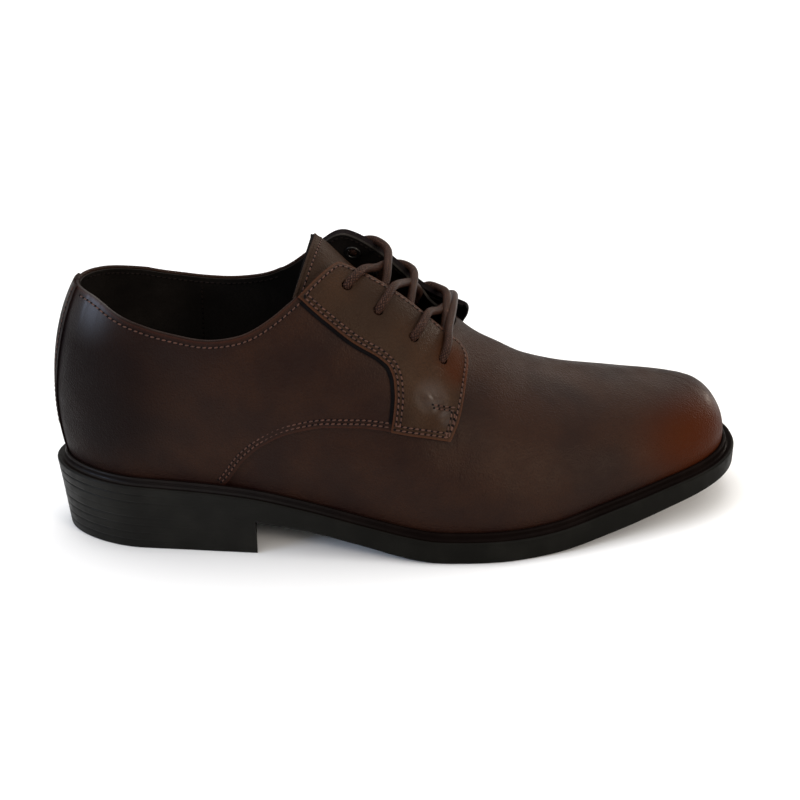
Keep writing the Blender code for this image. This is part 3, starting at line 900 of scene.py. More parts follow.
class Shader:
    """Node tree of one finish."""

    FACING_BAND = (0.40, 0.95)
    FACING_BLEND = 0.5

    def __init__(self, name: str) -> None:
        """Start a material with a principled surface."""
        self.material = bpy.data.materials.new(name)
        self.material.use_nodes = True
        self.tree = self.material.node_tree
        self.surface = self.tree.nodes["Principled BSDF"]
        self.coords = self.tree.nodes.new("ShaderNodeTexCoord")

    @property
    def place(self) -> Socket:
        """Coordinates of the piece itself."""
        return self.coords.outputs["Object"]

    def link(self, value: object, socket: Socket) -> None:
        """Feed a socket from another socket, a number or a colour."""
        if isinstance(value, Socket):
            self.tree.links.new(value, socket)
        else:
            socket.default_value = value

    def set(self, **values: object) -> None:
        """Set the surface's sockets, with underscores for spaces in their names."""
        for name, value in values.items():
            self.link(value, self.surface.inputs[name.replace("_", " ")])

    def node(self, kind: str, **values: object) -> bpy.types.Node:
        """Add a node and set its named sockets, with underscores for spaces in their names.

        Args:
            kind: Type of the node, without its usual prefix.
            values: Numbers, colours or sockets.

        Returns:
            The new node.
        """
        node = self.tree.nodes.new("ShaderNode" + kind)
        for name, value in values.items():
            self.link(value, node.inputs[name.replace("_", " ")])
        return node

    def noise(self, scale: float, detail: float) -> Socket:
        """Cloudy pattern, by its clouds per metre and its octaves."""
        return self.node("TexNoise", Vector=self.place, Scale=scale, Detail=detail).outputs["Fac"]

    def cells(self, scale: float) -> Socket:
        """Pebbled pattern of a given number of cells per metre."""
        node = self.node("TexVoronoi", Vector=self.place, Scale=scale)
        node.feature = "SMOOTH_F1"
        return node.outputs["Distance"]

    def ribs(self, scale: float, source: Socket) -> Socket:
        """Slanting ribs over flat coordinates, in twentieths of the ribs per metre."""
        node = self.node("TexWave", Vector=source, Scale=scale, Distortion=0.0)
        node.bands_direction = "DIAGONAL"
        return node.outputs["Fac"]

    def attribute(self, name: str) -> Socket:
        """Value stored on the piece's points."""
        node = self.node("Attribute")
        node.attribute_name = name
        return node.outputs["Fac"]

    def near(self, spot: Spot, full: float, none: float, squash: Spot = (1.0, 1.0, 1.0)) -> Socket:
        """Mask that is 1 near a spot and fades out.

        Args:
            spot: Centre in the shoe's frame.
            full: Distance up to which it is 1.
            none: Distance from which it is 0.
            squash: Scale of each axis before the distance is taken.

        Returns:
            Value socket.
        """
        scale = self.node("VectorMath")
        scale.operation = "MULTIPLY"
        self.link(self.place, scale.inputs[0])
        self.link(squash, scale.inputs[1])
        gap = self.node("VectorMath")
        gap.operation = "DISTANCE"
        self.link(scale.outputs["Vector"], gap.inputs[0])
        self.link([s * q for s, q in zip(spot, squash)], gap.inputs[1])
        return self.ranged(gap.outputs["Value"], none, full)

    def facing(self, front: float, edge: float) -> Socket:
        """Gloss that changes from what faces the eye to what turns away from it."""
        node = self.node("LayerWeight", Blend=self.FACING_BLEND)
        return self.ranged(node.outputs["Facing"], *self.FACING_BAND, front, edge)

    def ranged(self, value: Socket, low: float, high: float, start: float = 0.0, end: float = 1.0) -> Socket:
        """Value mapped softly from one range to another.

        Args:
            value: Socket to map.
            low: Input that gives start.
            high: Input that gives end.
            start: Output at low.
            end: Output at high.

        Returns:
            Value socket.
        """
        node = self.node("MapRange")
        node.interpolation_type = "SMOOTHSTEP"
        ends = {"Value": value, "From Min": low, "From Max": high, "To Min": start, "To Max": end}
        for name, number in ends.items():
            self.link(number, node.inputs[name])
        return node.outputs["Result"]

    def patches(self, row: NoiseRow, start: float = 0.0, end: float = 1.0) -> Socket:
        """Soft patches of a cloudy pattern, mapped from start to end."""
        return self.ranged(self.noise(row.scale, row.detail), row.low, row.high, start, end)

    def join(self, way: Join, one: object, two: object) -> Socket:
        """Sum, product or larger one of two values."""
        node = self.node("Math")
        node.operation = way.value
        self.link(one, node.inputs[0])
        self.link(two, node.inputs[1])
        return node.outputs["Value"]

    def mix(self, share: object, one: object, two: object) -> Socket:
        """Blend of two colours.

        Args:
            share: Share of the second colour.
            one: First colour.
            two: Second colour.

        Returns:
            Colour socket.
        """
        node = self.node("Mix")
        node.data_type = "RGBA"
        self.link(share, node.inputs[0])
        self.link(one, node.inputs[6])
        self.link(two, node.inputs[7])
        return node.outputs[2]

    def bump(self, height: Socket, depth: float, strength: float, under: Socket | None = None) -> Socket:
        """Fine relief.

        Args:
            height: Pattern of the relief.
            depth: Its height in metres.
            strength: How much of it shows.
            under: Relief below it.

        Returns:
            Normal socket.
        """
        node = self.node("Bump", Height=height, Distance=depth, Strength=strength)
        if under is not None:
            self.link(under, node.inputs["Normal"])
        return node.outputs["Normal"]

    def relief(self, row: ReliefRow) -> Socket:
        """Fine relief from a cloudy pattern."""
        return self.bump(self.noise(row.scale, row.detail), row.depth, row.strength)

    def gloss(self, plain: float, linked: Socket) -> None:
        """Link the gloss, after a plain value that stands in where a link can't be followed."""
        self.set(Specular_IOR_Level=plain)
        self.set(Specular_IOR_Level=linked)


@dataclass(frozen=True)
class Leather:
    """Smooth polished leather with a fine pebble."""

    name: str
    colour: Colour
    deep: Colour
    roughness: float = 0.42
    polish: tuple[PolishRow, ...] = ()
    tints: tuple[TintRow, ...] = ()
    gloss: float = 0.12
    edge_gloss: float = 0.22
    plain_gloss: float = 0.7
    tint: Colour = (1.0, 0.84, 0.68, 1.0)
    coat_roughness: float = 0.36
    clouds: NoiseRow = NoiseRow(38.0, 4.0, 0.35, 0.68)
    specks: NoiseRow = NoiseRow(1500.0, 2.0, 0.42, 0.66)
    speck_share: float = 0.55
    # Share of the painted shade, with some dirt, beside seams.
    seam_share: float = 0.45
    # Lift of each channel and share of the painted highlight along cut edges.
    rubbing: Spot = (2.9, 2.0, 1.9)
    rubbed_share: float = 0.40
    pebble: float = 1500.0
    pebble_depth: float = 0.00020
    pores: Span = (2600.0, 2.0)
    pore_share: float = 0.6
    swell: ReliefRow = ReliefRow(75.0, 2.0, 0.0006, 0.35)
    wear: NoiseRow = NoiseRow(120.0, 4.0, 0.3, 0.7)
    wear_range: Span = (-0.05, 0.06)

    def material(self) -> Material:
        """Build the finish."""
        shader = Shader(self.name)
        tone = shader.mix(shader.patches(self.clouds), self.colour, self.deep)
        tone = shader.mix(shader.patches(self.specks, end=self.speck_share), tone, self.deep)
        gloss = shader.facing(self.gloss, self.edge_gloss * self.gloss)
        # Local changes of tone and gloss, among them the painted warm reflection at the toe and the painted
        # shade at the back.
        for row in self.tints:
            near = shader.near(row.spot, row.full, row.none, row.squash)
            tone = shader.mix(shader.join(Join.PRODUCT, near, row.share), tone, row.colour)
            gloss = shader.join(Join.PRODUCT, gloss, shader.ranged(near, 0.0, 1.0, 1.0, row.gloss))
        # Darker band beside seams and overlapping edges: painted shade, with some dirt.
        seam = shader.join(Join.PRODUCT, shader.attribute("seam"), self.seam_share)
        tone = shader.mix(seam, tone, self.deep)
        # Lighter line along the cut edges: a painted highlight where they catch the light.
        edge_highlight = (*(highlight_gain * value for highlight_gain, value in zip(self.rubbing, self.colour)), 1.0)
        worn = shader.join(Join.PRODUCT, shader.attribute("worn"), self.rubbed_share)
        tone = shader.mix(worn, tone, edge_highlight)
        pores = shader.join(Join.PRODUCT, shader.noise(*self.pores), self.pore_share)
        grain = shader.join(Join.SUM, shader.cells(self.pebble), pores)
        relief = shader.bump(grain, self.pebble_depth, 1.0, shader.relief(self.swell))
        rough = shader.patches(self.wear, *(self.roughness + change for change in self.wear_range))
        shader.set(Base_Color=tone, Roughness=rough, Normal=relief, Specular_Tint=self.tint)
        shader.gloss(self.plain_gloss * self.gloss, gloss)
        shine: object = 0.0
        for row in self.polish:
            spot = shader.join(Join.PRODUCT, shader.near(row.spot, row.full, row.none), row.coat)
            shine = shader.join(Join.LARGER, spot, shine)
        shader.set(Coat_Weight=shine, Coat_Roughness=self.coat_roughness)
        return shader.material


@dataclass(frozen=True)
class Rubber:
    """Moulded rubber with a satin skin, duller from the arch forward."""

    name: str
    colour: Colour
    roughness: float = 0.42
    gloss: float = 0.075
    fore_gloss: float = 0.022
    plain_gloss: float = 0.5
    fade: Span = (0.02, 0.11)
    dust: NoiseRow = NoiseRow(60.0, 5.0, 0.4, 0.75)
    dust_share: float = 0.5
    dust_light: float = 2.2
    skin: ReliefRow = ReliefRow(2200.0, 3.0, 0.00004, 0.8)
    wear: NoiseRow = NoiseRow(220.0, 3.0, 0.3, 0.7)
    wear_range: Span = (-0.06, 0.10)

    def material(self) -> Material:
        """Build the finish."""
        shader = Shader(self.name)
        split = shader.node("SeparateXYZ", Vector=shader.place)
        dusty = scaled(self.colour, self.dust_light)
        tone = shader.mix(shader.patches(self.dust, end=self.dust_share), self.colour, dusty)
        rough = shader.patches(self.wear, *(self.roughness + change for change in self.wear_range))
        shader.set(Base_Color=tone, Roughness=rough, Normal=shader.relief(self.skin))
        gloss = shader.ranged(split.outputs["X"], *self.fade, self.gloss, self.fore_gloss)
        shader.gloss(self.plain_gloss * self.gloss, gloss)
        return shader.material


@dataclass(frozen=True)
class Thread:
    """Twisted sewing thread, and the shadow of its holes."""

    name: str
    colour: Colour
    roughness: float = 0.6
    gloss: float = 0.08
    wear: NoiseRow = NoiseRow(500.0, 2.0, 0.35, 0.7)
    wear_share: float = 0.8
    wear_dark: float = 0.45
    twist: ReliefRow = ReliefRow(5200.0, 1.0, 0.00008, 0.8)

    def material(self) -> Material:
        """Build the finish."""
        shader = Shader(self.name)
        worn = scaled(self.colour, self.wear_dark)
        tone = shader.mix(shader.patches(self.wear, end=self.wear_share), self.colour, worn)
        shader.set(Base_Color=tone, Roughness=self.roughness, Normal=shader.relief(self.twist))
        shader.set(Specular_IOR_Level=self.gloss)
        return shader.material


@dataclass(frozen=True)
class WaxedCord:
    """Round braided cord with a wax gloss, its braid painted in lit and shaded tones and flecked with painted
    glints.
    """

    name: str
    colour: Colour
    # Lighter tone of the painted highlight on the braid and of the painted glints.
    light: Colour
    roughness: float = 0.36
    gloss: float = 0.05
    braid: float = 500.0
    braid_band: Span = (0.1, 0.7)
    braid_depth: float = 0.00018
    braid_strength: float = 0.9
    specks: NoiseRow = NoiseRow(1700.0, 2.0, 0.56, 0.70)
    speck_share: float = 0.9
    # Brightening of the painted glints.
    speck_light: float = 2.0
    nap: ReliefRow = ReliefRow(2400.0, 2.0, 0.00014, 0.8)

    def material(self) -> Material:
        """Build the finish."""
        shader = Shader(self.name)
        flat = shader.coords.outputs["UV"]
        turned = shader.node("Mapping", Vector=flat, Scale=(1.0, -1.0, 1.0)).outputs["Vector"]
        braid = shader.join(Join.PRODUCT, shader.ribs(self.braid, flat), shader.ribs(self.braid, turned))
        # Braid strands painted lighter and darker: painted highlight and shade across the braid.
        tone = shader.mix(shader.ranged(braid, *self.braid_band), self.colour, self.light)
        # Pale flecks from the lighter tone: painted glints.
        painted_glint = scaled(self.light, self.speck_light)
        tone = shader.mix(shader.patches(self.specks, end=self.speck_share), tone, painted_glint)
        relief = shader.bump(braid, self.braid_depth, self.braid_strength, shader.relief(self.nap))
        shader.set(Base_Color=tone, Roughness=self.roughness, Normal=relief, Specular_IOR_Level=self.gloss)
        return shader.material


@dataclass(frozen=True)
class DarkMetal:
    """Blackened metal of the eyelets' backs."""

    name: str
    colour: Colour
    metallic: float = 0.9
    roughness: float = 0.32
    wear: NoiseRow = NoiseRow(700.0, 3.0, 0.5, 0.7)
    wear_share: float = 0.7
    wear_light: float = 2.5
    skin: ReliefRow = ReliefRow(1500.0, 2.0, 0.00003, 0.6)

    def material(self) -> Material:
        """Build the finish."""
        shader = Shader(self.name)
        worn = scaled(self.colour, self.wear_light)
        tone = shader.mix(shader.patches(self.wear, end=self.wear_share), self.colour, worn)
        shader.set(Base_Color=tone, Metallic=self.metallic, Roughness=self.roughness)
        shader.set(Normal=shader.relief(self.skin))
        return shader.material


@dataclass(frozen=True)
class Paper:
    """Pale paper of the floor."""

    name: str
    colour: Colour
    shade: Colour
    roughness: float = 0.9
    gloss: float = 0.2
    clouds: NoiseRow = NoiseRow(8.0, 2.0, 0.3, 0.7)

    def material(self) -> Material:
        """Build the finish."""
        shader = Shader(self.name)
        tone = shader.mix(shader.patches(self.clouds), self.colour, self.shade)
        shader.set(Base_Color=tone, Roughness=self.roughness, Specular_IOR_Level=self.gloss)
        return shader.material


# Orange-brown toe: a burnish with a painted warm reflection on the toe's outer side.
TOE_BURNISH_AND_WARM_REFLECTION = TintRow((0.224, -0.023, 0.032), 0.006, 0.036, (0.0400, 0.0076, 0.0010, 1.0), 1.0, 0.5,
                      (0.80, 0.9, 1.5))
# Darker, cooler back of the quarters: painted shade, with a painted cool cast of the bluish window light.
BACK_PAINTED_SHADE = TintRow((-0.034, -0.020, 0.070), 0.018, 0.062, (0.0046, 0.0034, 0.0038, 1.0), 0.85, 0.4)
FACING_BURNISH = TintRow((0.1238, -0.030, 0.0738), 0.004, 0.015, (0.0400, 0.0088, 0.0020, 1.0), 0.62, 0.30)
UPPER_POLISH = (
    PolishRow((-0.0195, -0.0150, 0.1040), 0.002, 0.022, 0.55),
    PolishRow((0.2305, -0.0085, 0.0395), 0.001, 0.010, 0.22),
)
FACING_POLISH = (
    PolishRow((0.1105, -0.0425, 0.0665), 0.0015, 0.0090, 0.55),
    PolishRow((0.1150, -0.0452, 0.0580), 0.0010, 0.0050, 0.5),
)


@dataclass(frozen=True)
class Finishes:
    """All finishes of the shoe and of the floor."""

    upper: Leather = Leather("upper_leather", (0.0178, 0.0062, 0.0034, 1.0), (0.0090, 0.0031, 0.0026, 1.0),
                             polish=UPPER_POLISH, tints=(TOE_BURNISH_AND_WARM_REFLECTION, BACK_PAINTED_SHADE))
    facing: Leather = Leather("facing_leather", (0.0275, 0.0114, 0.0050, 1.0), (0.0150, 0.0063, 0.0031, 1.0),
                              polish=FACING_POLISH, tints=(FACING_BURNISH,))
    tongue: Leather = Leather("tongue_leather", (0.0215, 0.0092, 0.0043, 1.0), (0.0125, 0.0054, 0.0028, 1.0),
                              roughness=0.5)
    lining: Leather = Leather("lining_leather", (0.0110, 0.0092, 0.0082, 1.0), (0.0050, 0.0042, 0.0038, 1.0),
                              roughness=0.55, pebble=1100.0, pebble_depth=0.00008)
    dye: Leather = Leather("cut_edge", (0.0040, 0.0036, 0.0042, 1.0), (0.0020, 0.0018, 0.0022, 1.0),
                           roughness=0.5, gloss=0.03)
    sock: Leather = Leather("sock_leather", (0.0070, 0.0060, 0.0055, 1.0), (0.0030, 0.0027, 0.0025, 1.0),
                            roughness=0.62, pebble=1200.0)
    rubber: Rubber = Rubber("sole_rubber", (0.0055, 0.0052, 0.0043, 1.0))
    tread: Rubber = Rubber("tread_rubber", (0.0062, 0.0062, 0.0056, 1.0), 0.55)
    # Dark rubber of the bead; it also covers the rim's top ledge as painted shade in the groove.
    bead: Rubber = Rubber("bead_rubber_and_ledge_shade", (0.0040, 0.0024, 0.0020, 1.0), 0.38, 0.12, 0.012)
    thread: Thread = Thread("stitch_thread", (0.073, 0.0280, 0.0165, 1.0), 0.42, 0.24)
    inner_thread: Thread = Thread("lining_thread", (0.0130, 0.0085, 0.0068, 1.0))
    # Near-black lumps at the needle holes: painted shade inside the holes.
    hole: Thread = Thread("stitch_hole_shadow", (0.003, 0.002, 0.002, 1.0), 0.8)
    # Cord tones: a shaded tone, and a lighter tone for the painted highlight and glints.
    cord: WaxedCord = WaxedCord("lace_cord", (0.0110, 0.0048, 0.0033, 1.0), (0.050, 0.0235, 0.0155, 1.0))
    metal: DarkMetal = DarkMetal("eyelet_metal", (0.05, 0.048, 0.045, 1.0))
    paper: Paper = Paper("floor_paper", (0.90, 0.90, 0.90, 1.0), (0.88, 0.88, 0.88, 1.0))


def quarter_turns(count: int) -> list[float]:
    """Angles of a quarter turn in even steps, with both ends."""
    return [math.pi / 2 * k / count for k in range(count + 1)]


@dataclass(frozen=True)
class SoleUnit:
    """Moulded sole with heel, rim and bead, and the sock inside."""

    last: Last
    columns: int = 240
    wall_rows: int = 44
    heel_rows: int = 60
    across: int = 28
    breast: float = 0.080
    breast_round: float = 0.0013
    breast_segments: int = 4
    breast_angle: float = 60.0
    taper_back: float = 0.0028
    taper_breast: float = 0.0010
    taper_ends: float = 0.060
    draft: float = 0.0003
    lower_round: float = 0.0012
    heel_round: float = 0.6
    rim_round: float = 0.0008
    ledge: tuple[OffsetRow, ...] = rows_of(OffsetRow, (
        (0.0075, -0.0006), (0.0034, -0.0006), (0.0022, -0.0006), (0.0015, -0.00005),
    ))
    groove_count: int = 7
    groove_depth: float = 0.00032
    groove_width: float = 0.00034
    groove_fade: float = 0.9
    groove_fades: Span = (0.012, 0.062)
    groove_ends: float = 6.0
    bead_height: float = 0.0020
    bead: tuple[OffsetRow, ...] = rows_of(OffsetRow, (
        (-0.0004, -0.2), (-0.0004, 0.55), (0.0, 0.85), (0.0005, 0.97), (0.0010, 1.0), (0.0014, 0.93),
        (0.0017, 0.78), (0.0018, 0.5), (0.0019, 0.0), (0.0024, -0.35), (0.0030, -0.50),
    ))
    sock_grid: tuple[int, int] = (33, 121)
    sock_thickness: float = 0.0026
    sock_gap: float = 0.0006
    sock_edge: float = 0.0006
    sock_cup: float = 0.0016
    sock_flat: Span = (0.10, 0.16)

    def heights(self, t: Array) -> Path:
        """Heights of the rim and of the underside at steps t."""
        x = self.last.station(t)
        return softened(SOLE_EDGE, "rim", x), softened(SOLE_EDGE, "ground", x)

    def taper(self, t: Array) -> Array:
        """How far the heel's foot draws in from the rim at steps t."""
        along = ease(0.0, self.breast, self.last.station(t))
        return self.taper_back + (self.taper_breast - self.taper_back) * along

    def low_inset(self, t: Array) -> Array:
        """Inset of the side wall where the sole's thickness ends."""
        rim, ground = self.heights(t)
        heel = self.taper(t) * (1 - ground / rim)
        fade = ease(self.taper_ends, self.breast, self.last.station(t))
        return self.draft + (heel - self.draft) * (1 - fade)

    def groove(self, t: Array, z: Array) -> Array:
        """Depth of the fine lines round the heel.

        Args:
            t: Steps along the sole.
            z: Heights on the wall.

        Returns:
            Extra inset of the wall.
        """
        x = self.last.station(t)
        rim, _ = self.heights(t)
        fade = 1 - self.groove_fade * ease(*self.groove_fades, x)
        depth = np.zeros_like(z)
        for k in range(1, self.groove_count + 1):
            depth = depth + bell(z - rim * k / (self.groove_count + 1), self.groove_width)
        return self.groove_depth * depth * fade * (x < self.breast)

    def ring(self, t: Array, inset: Array, z: Array, side: Side) -> Array:
        """Places on an inset outline at given heights.

        Args:
            t: Steps along the sole.
            inset: Distances inwards by row and column.
            z: Heights by row and column.
            side: Side of the shoe.

        Returns:
            Places by row and column.
        """
        x, y, _, _ = self.last.outline(side, t[None, :], inset)
        return np.stack([x, y, z + 0 * x], -1)

    def steps(self) -> tuple[Array, Array, Array]:
        """Steps of the whole sole, of the heel and of the forepart, meeting at the breast."""
        t = np.linspace(0, 1, self.columns + 1)
        breast = float(self.last.step(self.breast))
        meeting = int(np.argmin(np.abs(t - breast)))
        t[meeting] = breast
        return t, t[:meeting + 1], t[meeting:]

    def wall_rows_of(self, t: Array) -> Path:
        """Insets and heights of the ledge, the rim and the side wall at steps t.

        Args:
            t: Steps along the sole.

        Returns:
            Insets and heights by row and column.
        """
        rim, ground = self.heights(t)
        near = self.rim_round
        rows = [(row.aside, rim + row.up) for row in self.ledge]
        for turn in quarter_turns(4):
            rows.append((near * (1 - math.sin(turn)), rim - near * (1 - math.cos(turn))))
        foot = ground + self.lower_round
        for k in range(1, self.wall_rows + 1):
            share = k / self.wall_rows
            z = rim - near + (foot - rim + near) * share
            rows.append((self.low_inset(t) * share + self.groove(t, z), z))
        inset = np.stack([row[0] + 0 * t for row in rows])
        height = np.stack([row[1] + 0 * t for row in rows])
        return inset, height

    def heel_rows_of(self, t: Array) -> Path:
        """Insets and heights of the heel's wall below the sole's thickness at steps t.

        Args:
            t: Steps along the heel.

        Returns:
            Insets and heights by row and column.
        """
        _, ground = self.heights(t)
        top = ground + self.lower_round
        edge = self.lower_round * self.heel_round
        insets = []
        heights = []
        for k in range(self.heel_rows + 1):
            share = k / self.heel_rows
            z = top + (edge - top) * share
            inset = self.low_inset(t) + (self.taper(t) - self.low_inset(t)) * share
            fade = min(1.0, self.groove_ends * share) * min(1.0, self.groove_ends * (1 - share))
            insets.append(inset + self.groove(t, z) * (1.0 if k == 0 else fade))
            heights.append(z)
        for turn in quarter_turns(3)[1:]:
            insets.append(self.taper(t) + edge * (1 - math.cos(turn)))
            heights.append(edge * (1 - math.sin(turn)) + 0 * t)
        return np.stack(insets), np.stack(heights)

    def bottom_rows_of(self, t: Array) -> Array:
        """Places across the underside at steps t, from the lateral edge to the medial one.

        Args:
            t: Steps along the forepart.

        Returns:
            Places by row across and column along.
        """
        _, ground = self.heights(t)
        inset = self.low_inset(t)
        turns = quarter_turns(3)
        insets = np.stack([inset + self.lower_round * (1 - math.cos(turn)) for turn in turns])
        heights = np.stack([ground + self.lower_round * (1 - math.sin(turn)) for turn in turns])
        one, two = (self.ring(t, insets, heights, side) for side in Side)
        middle = between(one[-1], two[-1], np.linspace(0, 1, self.across + 1)[1:-1])
        return np.concatenate([one, middle, two[::-1]])

    def build_sole(self, wall: Material, tread: Material, ledge: Material) -> Piece:
        """Build the sole with its heel.

        Args:
            wall: Finish of its sides.
            tread: Finish of its underside.
            ledge: Darker rubber of its rim's top, which paints the shade in the groove under the upper.

        Returns:
            The sole.
        """
        whole, heel, fore = self.steps()
        sheets = Sheets(self.last)
        crest = len(self.ledge)
        tops = []
        blocks = []
        for side in Side:
            rows = self.ring(whole, *self.wall_rows_of(whole), side)
            block = self.ring(heel, *self.heel_rows_of(heel), side)
            # The rim's top takes the bead's darker rubber: painted shade in the groove under the upper.
            sheets.add(rows[:crest + 1], slot=2)
            sheets.add(rows[crest:])
            sheets.add(block)
            tops.append(rows[0])
            blocks.append(block)
        under = self.bottom_rows_of(fore)
        sheets.add(under, slot=1)
        near, far = blocks
        seat = between(near[-1], far[-1], np.linspace(0, 1, len(under)))
        sheets.add(seat, slot=1)
        sheets.add(patch(under[:, 0], seat[:, -1], near[:, -1], far[:, -1]))
        sheets.add(np.stack(tops))
        piece = sheets.piece("sole", wall, tread, ledge)
        turn_out(piece)
        round_edges(piece, self.breast_round, self.breast_segments, self.breast_angle)
        return place(piece, "rubber", "outsole")

    def build_bead(self, finish: Material) -> Piece:
        """Build the raised bead round the foot of the upper.

        Args:
            finish: Finish of the rubber.

        Returns:
            The bead.
        """
        t = np.linspace(0, 1, self.columns + 1)
        rim, _ = self.heights(t)
        sheets = Sheets(self.last)
        for side in Side:
            _, _, nx, ny = self.last.outline(side, t, 0.0)
            rows = []
            for row in self.bead:
                height = rim + SEAT_GAP + row.up * self.bead_height
                a = self.last.reach(side, t, height, Axis.UP) if row.up > 0 else np.zeros_like(t)
                foot = self.last.on(side, t, a)
                rows.append(np.stack([foot[:, 0] + nx * row.aside, foot[:, 1] + ny * row.aside, height], -1))
            sheets.add(np.stack(rows), flip=side is Side.LATERAL)
        return place(sheets.piece("bead", finish), "welt_rubber", "welt")

    def build_sock(self, finish: Material) -> Piece:
        """Build the sock lining on the insole.

        Args:
            finish: Leather of the sock.

        Returns:
            The sock lining.
        """
        rows, columns = self.sock_grid
        t = np.linspace(0.0, 1.0, columns)
        rim, _ = self.heights(t)
        inset = FEATHER_INSET + WALL + self.sock_gap
        one, two = (self.ring(t, inset + 0 * t[None], rim[None], side)[0] for side in Side)
        shares = np.linspace(0, 1, rows)
        points = between(one, two, shares)
        cup = (2 * shares[:, None] - 1) ** 2 * self.sock_cup
        level = 1 - ease(*self.sock_flat, self.last.station(t))
        points[..., 2] += SEAT_GAP + self.sock_thickness + cup * level
        sheets = Sheets(self.last)
        sheets.add(points)
        piece = sheets.piece("sock_lining", finish)
        thicken(piece, self.sock_thickness)
        round_leather(piece, self.sock_edge)
        return place(piece, "sock_leather", "insole")


@dataclass(frozen=True)
class Upper:
    """Leather panels of the upper: vamp, quarters, facings, back strip, lining and tongue."""

    last: Last
    medial_shift: float = 0.0060
    medial_short: float = 0.0035
    medial_shorter: Span = (0.140, 0.160)
    medial_drop: float = 0.0040
    medial_drops: Span = (0.10, 0.13)
    edge: float = 0.00032
    seam_width: float = 0.0016
    edge_samples: tuple[int, int] = (90, 40)
    crossing_rounds: int = 4
    vamp_start: float = 0.058
    vamp_columns: tuple[int, int, int] = (130, 12, 120)
    vamp_rows: int = 84
    vamp_thickness: float = 0.0009
    vamp_edge: float = 0.0002
    vamp_closing: Span = (0.012, 0.9)
    vamp_evening: tuple[float, float, int] = (0.195, 0.018, 10)
    sink: float = 0.00118
    sink_reach: Span = (0.0006, 0.016)
    overlap: float = 0.10
    throat_cover: Span = (0.1590, 0.1650)
    throat_samples: int = 40
    throat_back: float = 0.008
    quarter_columns: tuple[int, int] = (200, 40)
    quarter_rows: int = 92
    quarter_thickness: float = 0.0011
    quarter_tuck: float = 0.012
    quarter_tucks: Span = (-0.023, -0.019)
    quarter_least: float = 0.004
    quarter_seam: float = 0.0025
    quarter_worn: float = 0.0006
    facing_columns: int = 96
    facing_rows: int = 80
    facing_samples: tuple[int, int] = (120, 60)
    facing_thickness: float = 0.0013
    facing_lift: float = 0.00005
    facing_lap: float = 0.0045
    facing_round: float = 0.0058
    facing_size: Span = (0.080, 0.027)
    facing_fade: float = 0.004
    facing_seam: float = 0.0022
    facing_worn: float = 0.0007
    facing_fall: float = 0.00030
    facing_fall_width: float = 0.0012
    # Profile of the dark strip along the facings' rear edges, which paints the shadow there.
    underlay: tuple[OffsetRow, ...] = rows_of(OffsetRow, (
        (-0.0014, 0.0), (-0.0014, 0.00055), (-0.0006, 0.00075), (0.0015, 0.00060),
    ))
    underlay_pitch: float = 0.0011
    hole_radius: float = 0.0021
    hole_depth: float = 0.012
    hole_sides: int = 24
    topline_columns: int = 130
    topline_sides: int = 10
    topline_depth: float = 0.00085
    topline_radius: float = 0.00080
    lining_columns: tuple[int, int] = (150, 60)
    lining_rows: int = 64
    lining_gap: float = 0.00112
    lining_thickness: float = 0.0010
    lining_margin: float = 0.00015
    lining_dips: Span = (0.05, 0.01)
    lining_throat: float = 0.006
    strip_columns: int = 10
    strip_rows: int = 90
    strip_thickness: float = 0.0009
    strip_edge: float = 0.0003
    strip_short: float = 0.002
    strip_thinning: float = 0.25
    strip_lift: float = 0.00005
    tongue_columns: int = 90
    tongue_rows: int = 34
    tongue_thickness: float = 0.0024
    tongue_edge: float = 0.0005
    tongue_top: float = 0.1110
    tongue_sweep: float = 0.0110
    tongue_far_sweep: float = 0.0015
    tongue_root: float = 0.1830
    tongue_side: float = 0.62
    tongue_seam: Span = (0.0030, 0.0014)
    tongue_rim: tuple[OffsetRow, ...] = rows_of(OffsetRow, (
        (0.0010, 0.00002), (0.0008, 0.00025), (0.0002, 0.00030), (-0.0005, 0.0), (-0.0006, -0.0013),
        (-0.0003, -0.0026), (0.0010, -0.0027),
    ))
    tongue_rim_columns: int = 40
    tongue_rim_spread: Span = (0.35, 0.65)
    tongue_rim_seam: float = 0.6

    @property
    def facing_face(self) -> float:
        """Height of a facing's face over the form."""
        return self.facing_lift + self.facing_thickness

    def dented(self, points: Array) -> Array:
        """Lift of the soft troughs and ridges at points of the upper.

        Args:
            points: Points on the form.

        Returns:
            Lift for each point.
        """
        lift = np.zeros(points.shape[:-1])
        for row in DENTS:
            turn = math.radians(row.angle)
            dx = points[..., 0] - row.station
            dz = points[..., 2] - row.height
            along = dx * math.cos(turn) + dz * math.sin(turn)
            aside = dz * math.cos(turn) - dx * math.sin(turn)
            lift = lift + row.depth * np.exp(-(along / row.length) ** 2 - (aside / row.width) ** 2)
        return lift

    def medial_ahead(self, station: Array) -> Array:
        """How far forward of the lateral side the medial seams and eyelets lie."""
        return self.medial_shift - self.medial_short * ease(*self.medial_shorter, station)

    def seam(self, side: Side, rows: Sequence[PointRow]) -> tuple[PointRow, ...]:
        """Rows of a seam, which lies further forward on the medial side.

        Args:
            side: Side of the shoe.
            rows: Rows of the lateral seam.

        Returns:
            Rows of that side's seam.
        """
        if side is Side.LATERAL:
            return tuple(rows)
        moved = []
        for row in rows:
            drop = self.medial_drop * float(ease(*self.medial_drops, row.station))
            moved.append(PointRow(row.station + float(self.medial_ahead(row.station)), row.height - drop))
        return tuple(moved)

